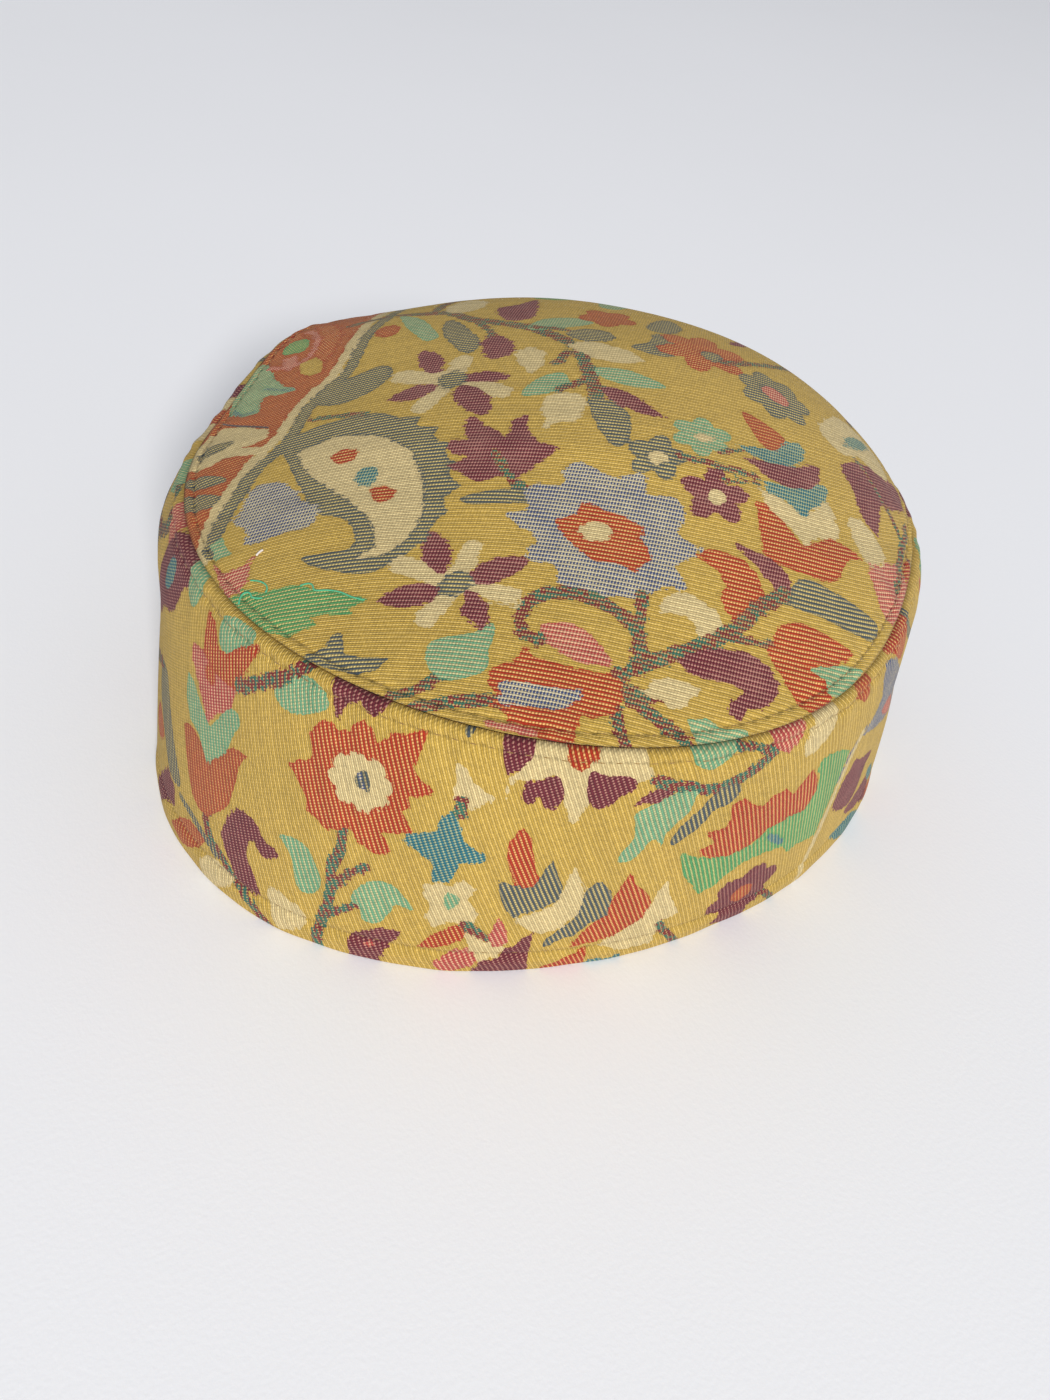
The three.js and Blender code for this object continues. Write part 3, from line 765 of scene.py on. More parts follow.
BLOSSOM = [
    line("stem", 2.6, (55.5, 42), (55.2, 34), (53.6, 27), (54, 21), (52.6, 12), (51.5, 4), (52, -1)),
    line("stem", 2.4, (54, 21.5), (57, 27), (60.8, 31.5)),
    line("stem", 2.4, (53, 11.5), (57, 16), (60, 19)),
    patch("vermilion", (50, 66.4), (52, 65), (54.5, 65.8), (57, 70.4), (59.5, 68), (60.5, 65.4), (63, 69.2),
          (69.3, 72), (69.2, 68), (68, 63), (69.5, 60.5), (73, 58.5), (70.5, 56), (68, 55), (68.6, 52),
          (66.4, 51), (70, 45.6), (67, 44), (63.4, 43), (66, 38), (63, 36), (59, 38), (56.5, 42),
          (54.5, 40), (52, 38), (50, 40), (47.2, 41), (47, 44.5), (44.5, 49), (42, 51), (45, 53.5),
          (47.5, 55.5), (47.4, 58), (46.3, 61), (48, 65)),
    petals("cream", 6.9, 8, 1.2, 12, 58, 54.6, 1.12),
    spot("slate", 58.4, 55.2, 1.6, 2.5, 10),
    line("blue_white", 0.8, (57.8, 56.8), (59, 53.6)),
    bean("mint", (41.3, 30.3), (44, 31.6), (47.5, 31.2), (49.6, 28), (51.6, 22), (50.6, 18), (47.5, 16.2),
         (45.8, 19), (45, 24), (43.4, 27.6)),
    bean("mint", (58.4, 20), (59.5, 24), (62.5, 27.7), (66.5, 28.2), (69.5, 25), (71.8, 20.8), (68, 22),
         (66.5, 18), (64.5, 14.2), (61.4, 13.8), (60.4, 17.5)),
    bean("cream", (39.3, 12.8), (44, 12.2), (48.6, 9), (47.3, 4), (42.5, 1), (40, 6)),
    patch("maroon", (58.4, 8), (61, 10), (65.5, 12.8), (69.6, 13), (68.2, 8.5), (66.2, 5), (65.4, -1),
          (59, -1), (58.4, 4)),
    spot("pink", 63, 6, 1.2, 0.9),
    patch("maroon", (48, 76), (50.3, 71), (51.8, 67.2), (53, 71.6), (55.4, 73.2), (57, 71.6), (59, 71.6),
          (60.6, 73.4), (61, 76)),
]  # fmt: skip

STAR = [
    patch("cream", (75.5, 67.4), (78, 66), (79.5, 62.6), (84.4, 60), (81.5, 57), (80, 54.6), (77.5, 58),
          (76.3, 56.8), (76.4, 62)),
    line("stem", 2.4, (78, 57.6), (78, 53.5)),
    patch("teal", (76, 54.4), (78.6, 51), (79.4, 46), (84.2, 43.2), (84.8, 40.6), (79.6, 39.4),
          (78.2, 32.6), (74.8, 32.6), (74, 38), (70.5, 40.6), (67.6, 42.5), (69, 45.2), (74, 47), (74.6, 51)),
    patch("cream", (73.2, 30.6), (76.5, 32), (78.5, 31), (80.5, 34.4), (83.8, 31.6), (82, 28), (85, 23),
          (84, 18.8), (80, 19.4), (76, 16.8), (74.2, 20), (75, 24), (73.2, 27)),
    spot("mint", 79.1, 26.5, 1.6, 2.8),
    bean("vermilion", (73.2, 8), (75, 11.6), (77, 15), (81, 18.2), (83.2, 16), (81.6, 12), (77.5, 9.4)),
    bean("pink", (77, 3), (79.5, 7), (82, 9.7), (84.5, 8.7), (86.4, 5), (83, 1.3), (79, 0.6)),
    line("stem", 2.6, (82.5, 19), (87, 14)),
    patch("cream", (83, 16.2), (87, 12.4), (91.4, 12.4), (91.4, 7), (87, 5.3), (84, 9)),
    patch("pink", (89.4, 22.6), (91.2, 17), (92.4, 11.6), (89, 10.6), (87.8, 14)),
    patch("maroon", (91, 7.6), (94, 12.6), (96.8, 16), (97.2, 10), (97.2, 4), (97.8, -1), (84.6, -1),
          (87, 5), (91, 6.6)),
    spot("slate", 77, 74.6, 1.0, 1.2),
]  # fmt: skip

CROSS = [
    patch("cream", (89.6, 76), (110.4, 76), (112, 72), (114.4, 68), (109.5, 67.2), (104, 69), (101, 69.8),
          (101.4, 66), (101.6, 60), (100, 54.4), (98.4, 56), (97.4, 60), (96.6, 64), (95.4, 67.6), (91, 66),
          (87, 66), (86, 60), (85.6, 63), (87, 68), (89.4, 71)),
    patch("vermilion", (95.2, 76), (102.4, 76), (101.2, 71), (98.4, 69.8), (96, 72)),
    patch("maroon", (83.2, 76), (89.6, 76), (89.6, 71.5), (87, 67.6), (85.3, 67.2), (84, 71)),
    bean("maroon", (89, 65.4), (91.5, 66.4), (94.6, 68.2), (96.2, 65), (96.6, 61), (95, 58.8), (93.4, 59.4),
         (92.4, 61.8), (90.5, 59.8), (89.2, 61)),
    bean("maroon", (101, 69.8), (104, 69), (109, 68.7), (110.2, 66), (106.8, 62.4), (105, 59.8),
         (103, 60), (101, 64)),
    bean("maroon", (110.6, 60.6), (113.6, 64.6), (117, 66), (118.6, 63.6), (114, 61.2)),
    line("stem", 3.2, (114, 67.6), (117, 66), (122, 64.8), (127, 63), (131, 64), (136, 66.5), (140, 70.4)),
    line("stem", 2.4, (128, 75), (134, 72.8), (139, 71)),
    patch("mint", (119.6, 76), (131, 76), (129, 71.2), (125, 69.2), (121.3, 71)),
    patch("pink", (138, 76), (148, 76), (147.8, 71), (144, 68), (140, 70.4)),
    bean("cream", (149.2, 70), (151, 75), (157, 76), (158, 70), (155, 65), (151, 63.6), (149, 66)),
    patch("mint", (111.3, 58), (115, 60.8), (119, 63.8), (123.4, 63.6), (123.3, 57), (121, 53.4),
          (119.6, 50.4), (119.4, 45.4), (117.6, 49), (116, 48), (115.7, 45.5), (113.5, 41.6), (110.8, 41.8),
          (111, 45), (113, 50), (112.3, 54)),
    bean("slate", (131, 63.6), (133.7, 61.5), (132.6, 57), (129, 55.8), (127.6, 51.8), (124.6, 47.8),
         (122, 45.6), (121.3, 48.5), (122.8, 53), (125.3, 57), (127.4, 61)),
]  # fmt: skip

LAYERED_LEAF = [
    patch("vermilion", (90.4, 52.6), (92.5, 49.5), (93.6, 44), (94.7, 39), (96.2, 35.5), (94.5, 33.3),
          (91, 33.8), (89.8, 38), (88.3, 43), (88.3, 48)),
    patch("slate", (97.5, 43), (99.2, 38.5), (100.8, 34), (100.7, 29), (98, 26.4), (95.5, 24.3), (93.5, 24),
          (93, 21.2), (91.8, 22.4), (89.8, 26), (88.3, 31), (87.7, 35.2), (91, 34), (94.5, 33.5),
          (96, 37), (96.4, 40.5)),
    patch("cream", (102.6, 41.6), (103.8, 37), (105.7, 33), (106.2, 27), (105.2, 22), (103.2, 18.3),
          (99, 15.7), (94.2, 18.8), (92.6, 21.5), (96, 24.2), (100, 27), (100.8, 31), (101.3, 36)),
    bean("slate", (108.5, 35), (111.2, 31.5), (112.3, 27), (112.2, 20.5), (109, 18.8), (106.5, 14.3),
         (104, 13.2), (100.3, 10), (100.2, 13), (102.4, 17), (105, 20.7), (106, 27), (106, 31.5)),
    patch("vermilion", (115, 37.4), (116.7, 32.5), (120.2, 28.5), (122.3, 23.5), (121.7, 17), (118.7, 13.8),
          (115, 11.3), (110.5, 9.8), (106.2, 8.6), (107, 12), (108.4, 16), (110, 19.4), (112.5, 21),
          (112.5, 27), (113.4, 32)),
    patch("cream", (124.6, 31), (126.2, 25), (128.7, 20.5), (131, 15), (127.2, 13.3), (126.7, 4.6),
          (120, 4.2), (112.6, 8), (116, 12), (121.5, 17), (122.4, 23.5), (123, 28)),
    line("stem", 2.2, (126.5, 13), (129, 8), (132, 3.5), (134.5, -1)),
    patch("vermilion", (100.6, 1), (106, 5), (110.4, 8.4), (110.4, 0.4), (101, -0.6)),
    patch("teal", (110, -1), (112, 2), (116, 1.4), (119, 2.4), (120, -1)),
]  # fmt: skip

GREEN_LEAF = [
    patch("green", (124.3, 43), (128, 39.4), (131, 37.8), (134, 36.4), (139, 35), (144, 36), (147.5, 40),
          (152, 41.4), (158, 40), (160.6, 46), (159.6, 52), (156.8, 55.5), (158, 59), (163, 58.2),
          (171, 53), (171, 21), (163, 24.2), (160, 23), (157, 27.2), (150, 29.7), (144, 29.2), (140, 26),
          (137, 22.3), (134.2, 21.8), (131.3, 27), (127.8, 32)),
    patch("vermilion", (128.8, 48.7), (131.5, 47.5), (134.2, 48), (134.4, 51), (132.8, 55.7), (136, 57.3),
          (139, 54), (142, 51.3), (144.5, 54.2), (148, 54.8), (151, 51), (153, 53.5), (155, 57),
          (158.2, 53), (160.7, 47), (160.2, 42.4), (158, 39.8), (154, 41.4), (150, 40.8), (147, 40),
          (143.5, 36), (139, 34.8), (134, 36.4), (131, 38.4), (129.7, 41.4), (133, 43), (130.7, 45.5)),
    line("teal", 2.0, (149.5, 36.5), (152, 34), (155, 30.5)),
    petals("maroon", 10.2, 6, 2.7, 20, 149.4, 13.4, 1.1),
    bean("maroon", (143, 3), (147, 6), (153, 5), (153.5, -1), (149, -1)),
    spot("rust", 149.4, 13, 3.1, 3.9, 15),
    line("stem", 2.2, (157, 8), (161, 4), (164, -1)),
]  # fmt: skip

# The cream stripe of the cloth's border runs down the band here, with what shows past it.
SIDE_STRIPE = [
    bean("blue_white", (182.5, 72), (188, 69), (196, 63), (205, 53), (212, 41), (211, 36.5), (196, 44),
         (184, 50), (178, 53), (183.5, 57), (184.5, 61), (182, 66)),
    bean("pink", (190, 52), (198, 51), (208, 42), (210, 37.5), (199, 43.5)),
    line("blue_white", 1.4, (178, 55), (173, 51), (171.6, 42)),
    line("cream", 2.1, (176.4, 55), (174, 49), (173, 40), (172.8, 20), (172.4, -1)),
    bean("maroon", (179, 43.5), (184.5, 40), (195, 34.5), (191.5, 31), (192, 23.5), (188, 19.5), (177, 26.5),
         (175, 36), (177, 41)),
    bean("maroon", (188, 17.6), (192, 19), (199.5, 21), (207, 13), (213, 3), (205, 6.5), (198, 10),
         (190, 14.5)),
    bean("teal", (199, 24.6), (204, 22), (210, 13), (206, 14), (200, 21)),
    bean("teal", (184, 9.6), (189.5, 10.2), (198, 8), (208, 0), (202, -1), (193, 2)),
    bean("rust", (171.4, 75.8), (172.4, 73), (172.4, 69.5), (170.6, 68.2), (168, 70.4), (165.8, 71.8),
         (166.2, 74.8)),
    bean("vermilion", (182.6, 74.2), (186, 72.4), (192, 67), (197, 63), (200.5, 63.4), (200, 70), (198, 77),
         (185, 77)),
    line("slate", 2.6, (199, 77), (203, 68), (212, 60), (217, 57)),
]  # fmt: skip

LEFT_SIDE = [
    bean("maroon", (-19, 50), (-14, 58), (-12, 66), (-8, 73), (-3, 76), (4, 75.4), (6, 71), (3, 66.4),
         (1, 61), (-3, 58), (-8, 55), (-13, 50)),
    spot("teal", -4.5, 66, 2.3, 4.6, -20),
    bean("mint", (4, 77), (9, 76), (11.4, 73), (10.8, 69.4), (9, 67.4), (6.4, 68.4), (5, 72)),
    bean("slate", (-7, 42), (-2, 42), (0.6, 37), (4, 29), (8.6, 19.4), (2, 17.4), (-3, 26), (-8, 34)),
    patch("maroon", (0, 17.4), (6, 15.4), (5, 10), (-1, 6), (-6, 1), (-9, 6), (-4, 12)),
    bean("vermilion", (-12, 22), (-8, 29), (-3, 24), (-8, 19)),
    line("stem", 2.6, (-30, 20), (-22, 30), (-14, 38), (-7, 41)),
    bean("cream", (-28, 8), (-22, 13), (-16, 11), (-20, 4)),
    line("stem", 2.4, (-203, 67), (-197, 56), (-189, 51), (-184, 45)),
    petals("pink", 8.6, 7, 2.4, 10, -186, 61),
    spot("cream", -186, 61, 2.7, 3.1),
    bean("mint", (-202, 52), (-196, 50.6), (-192, 44), (-193, 40), (-199, 43)),
    bean("slate", (-176, 52), (-170, 56), (-165, 62), (-169, 50), (-173, 46)),
]  # fmt: skip

# Past the sides the pattern repeats, some of it mirrored along the cloth.
BAND_MOTIFS = (
    SIDE_STRIPE
    + moved(TULIPS, 204)
    + moved(BLOSSOM, 194)
    + moved(LAYERED_LEAF, -155)
    + moved(CROSS, -155)
    + moved(BLOSSOM, -165, 58)
    + moved(STAR, -160)
    + moved(GREEN_LEAF, -303)
    + moved(LAYERED_LEAF, -308)
    + moved(STAR, 190)
    + moved(TULIPS, -281)
    + moved(STAR, -310)
    + moved(CROSS, -340)
    + LEFT_SIDE
    + TULIPS
    + BLOSSOM
    + STAR
    + CROSS
    + LAYERED_LEAF
    + GREEN_LEAF
)

# The weave: cloth from one solid rib to the next, from one fleck to the next along a rib, how far on
# the flecks stand in the next rib, how much more or less of the cloth they cover, and how bright they are.
CROWN_WEAVE = {"rib": 0.9, "fleck": 0.62, "slant": -0.5, "cover": 0.04, "bright": 1.0}
BAND_WEAVE = {"rib": 1.07, "fleck": 0.7, "slant": -0.8, "cover": -0.06, "bright": 0.87}
ROW_BOW = {"lean": 0.27, "bend": 5.8, "reach": 50.0, "middle": -10.0}
# A small step along the ribs of each chart, in millimetres.
CROWN_ROW_WAY = (0.4, -0.08)
BAND_ROW_WAY = (-0.13, 0.38)


def srgb(red, green, blue):
    """A screen colour, 0 to 255 each, in the linear values that shaders use."""
    shares = [value / 255 for value in (red, green, blue)]
    return tuple(s / 12.92 if s <= 0.04045 else ((s + 0.055) / 1.055) ** 2.4 for s in shares)


def colour_property(name, description, colour):
    return FloatVectorProperty(
        name=name, description=description, subtype="COLOR", size=3, min=0, max=1, default=srgb(*colour)
    )


def length_property(name, description, millimetres):
    return FloatProperty(name=name, description=description, default=millimetres * MM, unit="LENGTH")


# What crosses each main yarn: the flecks' colour, how much of the cloth they cover, whether they
# alternate like bird's eyes, and how far apart they stand in their rows.
FLECKS = {
    "yellow": ((206, 174, 94), 0.5, 0, 0.5),
    "cream": ((218, 198, 144), 0.5, 0, 0.5),
    "vermilion": ((222, 176, 106), 0.45, 0, 1),
    "rust": ((204, 146, 84), 0.42, 0, 0.8),
    "maroon": ((172, 122, 108), 0.36, 1, 1),
    "mint": ((198, 184, 132), 0.5, 0.2, 0.9),
    "green": ((196, 182, 114), 0.5, 0, 0.9),
    "teal": ((160, 168, 128), 0.42, 1, 1),
    "slate": ((204, 182, 112), 0.52, 0, 0.8),
    "blue_white": ((196, 184, 150), 0.46, 1, 1),
    "pink": ((222, 176, 138), 0.47, 0.4, 1),
    "stem": ((178, 148, 96), 0.3, 1, 1),
}


class CapYarns(bpy.types.PropertyGroup):
    yellow: colour_property("Yellow Ground", "Main colour of the cloth's ground", (176, 144, 60))
    cream: colour_property("Cream", "Main colour of the cream yarn", (192, 170, 120))
    vermilion: colour_property("Vermilion", "Main colour of the bright red yarn", (160, 42, 18))
    rust: colour_property("Rust", "Main colour of the border's red yarn", (158, 64, 34))
    maroon: colour_property("Maroon", "Main colour of the dark red yarn", (98, 30, 42))
    mint: colour_property("Mint", "Main colour of the pale green yarn", (98, 151, 113))
    green: colour_property("Green", "Main colour of the deep green yarn", (72, 144, 86))
    teal: colour_property("Teal", "Main colour of the blue green yarn", (26, 98, 112))
    slate: colour_property("Slate", "Main colour of the grey blue yarn", (64, 74, 80))
    blue_white: colour_property("Blue", "Blue of the bird's eye areas", (62, 74, 112))
    pink: colour_property("Pink", "Main colour of the pink yarn", (166, 60, 58))
    stem: colour_property("Stem Red", "Dark red of the speckled stems", (118, 40, 42))
    stem_green: colour_property("Stem Green", "Green of the speckled stems", (52, 102, 84))
    sewing_thread: colour_property("Sewing Thread", "Colour of the stitches", (134, 104, 54))


class CapSizes(bpy.types.PropertyGroup):
    cloth_thickness: length_property("Cloth", "Thickness of the cloth", 2.0)
    thread_thickness: length_property("Thread", "Thickness of the sewing thread", 0.34)
    stitch_length: length_property("Stitch", "Visible length of one stitch", 1.5)
    stitch_sunk: length_property("Sunk", "How far a stitch is drawn into the cloth", 0.05)
    weave_depth: length_property("Weave Depth", "Height of the ribs of the weave", 0.25)


class CapStage(bpy.types.PropertyGroup):
    floor: colour_property("Floor", "Colour of the plain floor", (246, 247, 250))
    key_power: FloatProperty(
        name="Key Light", description="Power of the soft light on the front", default=336.0, unit="POWER"
    )
    sky_strength: FloatProperty(
        name="Sky", description="Strength of the even light from all round", default=0.5, subtype="FACTOR"
    )
    floor_size: length_property("Floor Size", "Side of the floor", 16000.0)


class Nodes:
    """Adds shader nodes to one tree and joins them up."""

    def __init__(self, tree):
        tree.nodes.clear()
        self.tree = tree

    def add(self, kind, **settings):
        node = self.tree.nodes.new(kind)
        for name, value in settings.items():
            setattr(node, name, value)
        return node

    def put(self, socket, value):
        if isinstance(value, bpy.types.NodeSocket):
            self.tree.links.new(value, socket)
        else:
            socket.default_value = value

    def math(self, operation, *terms, clamp=False):
        node = self.add("ShaderNodeMath", operation=operation, use_clamp=clamp)
        for socket, term in zip(node.inputs, terms):
            self.put(socket, term)
        return node.outputs[0]

    def spread(self, value, low, high):
        """Takes a value from 0 to 1 to the range from low to high."""
        return self.math("MULTIPLY_ADD", value, high - low, low)

    def mix(self, share, first, second, blend="MIX"):
        """Mixes two colours."""
        node = self.add("ShaderNodeMix", data_type="RGBA", blend_type=blend)
        self.put(node.inputs[0], share)
        self.put(node.inputs[6], first)
        self.put(node.inputs[7], second)
        return node.outputs[2]

    def blend(self, share, first, second):
        """Mixes two numbers."""
        node = self.add("ShaderNodeMix", data_type="FLOAT")
        self.put(node.inputs[0], share)
        self.put(node.inputs[2], first)
        self.put(node.inputs[3], second)
        return node.outputs[0]

    def shaded(self, colour, tone):
        """A colour made darker or lighter by one number."""
        return self.mix(1.0, colour, self.joined(tone, tone, tone), "MULTIPLY")

    def step(self, value, low, high):
        """Rises smoothly from 0 at low to 1 at high."""
        node = self.add("ShaderNodeMapRange", interpolation_type="SMOOTHSTEP")
        self.put(node.inputs["Value"], value)
        self.put(node.inputs["From Min"], low)
        self.put(node.inputs["From Max"], high)
        return node.outputs["Result"]

    def step_about(self, value, middle, half):
        """The same, from half under the middle to half over it."""
        return self.step(value, self.math("SUBTRACT", middle, half), self.math("ADD", middle, half))

    def attribute(self, name):
        """The values that the piece's points carry under this name."""
        node = self.add("ShaderNodeAttribute", attribute_type="GEOMETRY", attribute_name=name)
        return node.outputs["Fac"]

    def joined(self, x, y, z):
        node = self.add("ShaderNodeCombineXYZ")
        for socket, value in zip(node.inputs, (x, y, z)):
            self.put(socket, value)
        return node.outputs[0]

    def vector_math(self, operation, *terms):
        node = self.add("ShaderNodeVectorMath", operation=operation)
        for socket, term in zip(node.inputs, terms):
            self.put(socket, term)
        return node.outputs["Value" if operation == "DOT_PRODUCT" else "Vector"]

    def chance(self, vector, output="Value"):
        """An even random value, or with "Color" three of them, for each whole place."""
        node = self.add("ShaderNodeTexWhiteNoise", noise_dimensions="3D")
        self.put(node.inputs["Vector"], vector)
        return node.outputs[output]

    def noise(self, vector, scale, detail=2.0):
        node = self.add("ShaderNodeTexNoise")
        self.put(node.inputs["Vector"], vector)
        node.inputs["Scale"].default_value = scale
        node.inputs["Detail"].default_value = detail
        return node.outputs["Fac"]

    def wave(self, value):
        """A smooth wave from 0 to 1, highest where value is whole."""
        angle = self.math("MULTIPLY", value, 2 * math.pi)
        return self.math("MULTIPLY_ADD", self.math("COSINE", angle), 0.5, 0.5)

    def stops(self, value, colours):
        """Picks a colour by number, with no blending."""
        node = self.add("ShaderNodeValToRGB")
        ramp = node.color_ramp
        ramp.interpolation = "CONSTANT"
        while len(ramp.elements) < len(colours):
            ramp.elements.new(0.5)
        for number, colour in enumerate(colours):
            ramp.elements[number].position = max(0.0, (number - 0.5) / len(colours))
            ramp.elements[number].color = (*colour, 1)
        self.put(node.inputs[0], self.math("DIVIDE", value, float(len(colours))))
        return node.outputs[0]


def start_material(name):
    """A new material, the adder of its nodes, and where each place of it lies on the piece."""
    material = bpy.data.materials.new(name)
    material.use_nodes = True
    nodes = Nodes(material.node_tree)
    return material, nodes, nodes.add("ShaderNodeTexCoord").outputs["Object"]


def finish_shader(nodes, colour, height, depth, roughness, sheen):
    """A dull surface whose relief is as deep as depth where height is 1."""
    shader = nodes.add("ShaderNodeBsdfPrincipled")
    nodes.put(shader.inputs["Base Color"], colour)
    shader.inputs["Roughness"].default_value = roughness
    shader.inputs["Specular IOR Level"].default_value = 0.25
    shader.inputs["Sheen Weight"].default_value = sheen
    shader.inputs["Sheen Roughness"].default_value = 0.5
    bump = nodes.add("ShaderNodeBump")
    bump.inputs["Strength"].default_value = 0.8
    bump.inputs["Distance"].default_value = depth
    nodes.put(bump.inputs["Height"], height)
    nodes.put(shader.inputs["Normal"], bump.outputs[0])
    output = nodes.add("ShaderNodeOutputMaterial")
    nodes.tree.links.new(shader.outputs[0], output.inputs[0])


# How far the pattern's edges stray, in millimetres: where the rows end at them, and where they run along.
EDGE_AT_ROW_ENDS, EDGE_ALONG_ROWS = 0.75, 0.25
# How often an edge may step and how often it may fray, for each fleck along a rib.
STEPS_PER_FLECK, FRAYS_PER_FLECK = 0.2, 0.6
# The angle between the ways in which the edges of one yarn and the next stray, in radians.
STRAY_TURN = 2.4
# Each use of chance reads its own layer of random values.
CHANCE_LAYERS = {"steps": 0.0, "frays": 5.0, "green_stem": 3.0, "dyed_rib": 7.0, "dyed_yarn": 9.0}
# How deep the fibres of a single thread lie, and the grain of the floor, in metres.
FIBRE_DEPTH = 0.1 * MM
FLOOR_GRAIN_DEPTH = 0.05 * MM


def count_rows(nodes, place):
    """Counts the ribs across the cloth and the flecks along a rib; both wander a little."""
    chart = nodes.add("ShaderNodeSeparateXYZ")
    nodes.put(chart.inputs[0], nodes.add("ShaderNodeUVMap", uv_map="weave").outputs[0])
    wander = nodes.spread(nodes.noise(place, scale=90), -0.15, 0.15)
    return nodes.math("ADD", chart.outputs[0], wander), nodes.math("ADD", chart.outputs[1], wander)


def ragged_edges(nodes, rib_row, half_row, fleck_at, short_run):
    """How far the pattern's edges stray: they step from rib to rib, and fray a little within each."""
    long_run = nodes.math("FLOOR", nodes.math("MULTIPLY", fleck_at, STEPS_PER_FLECK))
    stepped = nodes.chance(nodes.joined(rib_row, long_run, CHANCE_LAYERS["steps"]), "Color")
    frayed = nodes.chance(nodes.joined(half_row, short_run, CHANCE_LAYERS["frays"]), "Color")
    both = nodes.vector_math("SUBTRACT", nodes.vector_math("ADD", stepped, frayed), (1.0,) * 3)
    reach = nodes.spread(nodes.attribute("row_ends"), EDGE_ALONG_ROWS, EDGE_AT_ROW_ENDS)
    return nodes.vector_math("MULTIPLY", both, nodes.joined(reach, reach, reach))


def pick_yarn(nodes, ragged):
    """The number of the yarn whose area reaches furthest over a place, and how far it reaches."""
    furthest, number = None, 0.0
    for count, yarn in enumerate(YARNS):
        area = nodes.attribute("in_" + yarn)
        heading = STRAY_TURN * count
        way = (math.cos(heading), math.sin(heading), math.cos(2.7 * heading))
        reach = nodes.math("ADD", area, nodes.vector_math("DOT_PRODUCT", ragged, way))
        if furthest is None:
            furthest = reach
            continue
        number = nodes.blend(nodes.math("GREATER_THAN", reach, furthest), number, float(count))
        furthest = nodes.math("MAXIMUM", furthest, reach)
    return number, furthest


def fleck_cover(nodes, place, number, reach, rib, pick, cover):
    """How much of a place its flecks cover, less at a motif's edge.

    The yarn's number picks between a solid rib with a row of slanted flecks beside it, and bird's eyes.
    """
    ways = nodes.add("ShaderNodeSeparateColor")
    nodes.put(ways.inputs[0], nodes.stops(number, [FLECKS[yarn][1:] for yarn in YARNS]))
    share, eyes, apart = ways.outputs
    patchy = nodes.spread(nodes.noise(place, scale=160, detail=1.0), cover - 0.15, cover + 0.15)
    bare = nodes.math("SUBTRACT", 1.0, nodes.math("ADD", share, patchy))
    hollow = nodes.math("SUBTRACT", 1.0, rib)
    spaced = nodes.blend(apart, 1.0, nodes.spread(pick, 0.2, 1.2))
    slanted = nodes.math("MULTIPLY", nodes.step_about(hollow, bare, 0.2), spaced, clamp=True)
    thinned = nodes.math("MULTIPLY", slanted, nodes.spread(nodes.step(reach, 0.1, 0.8), 0.55, 1.0))
    crossing = nodes.math("MULTIPLY_ADD", nodes.math("ADD", hollow, pick), 0.5, 0.04)
    return nodes.blend(eyes, thinned, nodes.step_about(crossing, bare, 0.12))


def dye_and_painted_gap_shade(nodes, place, rib_row, half_row, fleck_at, height):
    """How light a place is: painted shade in the gaps between the rows of yarn and painted light on their
    tops, unevenly dyed ribs and yarns, faded patches.
    """
    run = nodes.math("FLOOR", nodes.math("MULTIPLY_ADD", rib_row, 0.37, fleck_at))
    yarns = nodes.chance(nodes.joined(half_row, run, CHANCE_LAYERS["dyed_yarn"]))
    ribs = nodes.chance(nodes.joined(rib_row, 0.0, CHANCE_LAYERS["dyed_rib"]))
    lightness = nodes.math("MULTIPLY", nodes.spread(ribs, 0.94, 1.06), nodes.spread(yarns, 0.88, 1.12))
    patches = nodes.noise(place, scale=28, detail=3.0)
    faded = nodes.math("MULTIPLY", lightness, nodes.spread(patches, 0.92, 1.08))
    # Painted shade in the gaps between the rows of yarn and painted light on their tops, from the weave's
    # height.
    return nodes.math("MULTIPLY", faded, nodes.spread(height, 0.78, 1.2))


def painted_sewing_shade(nodes):
    """Painted shade of the sewing: thin dark lines along the rows of stitches, darkest at the needle holes
    and in the seam's crease.
    """
    beside = nodes.math("ABSOLUTE", nodes.attribute("beside_stitches"))
    pulled = nodes.math("SUBTRACT", 1.0, nodes.step(beside, 0.1, 0.62))
    dark = nodes.math("MULTIPLY_ADD", pulled, nodes.attribute("row_shade"), nodes.attribute("seam_shade"))
    return nodes.math("SUBTRACT", 1.0, dark)


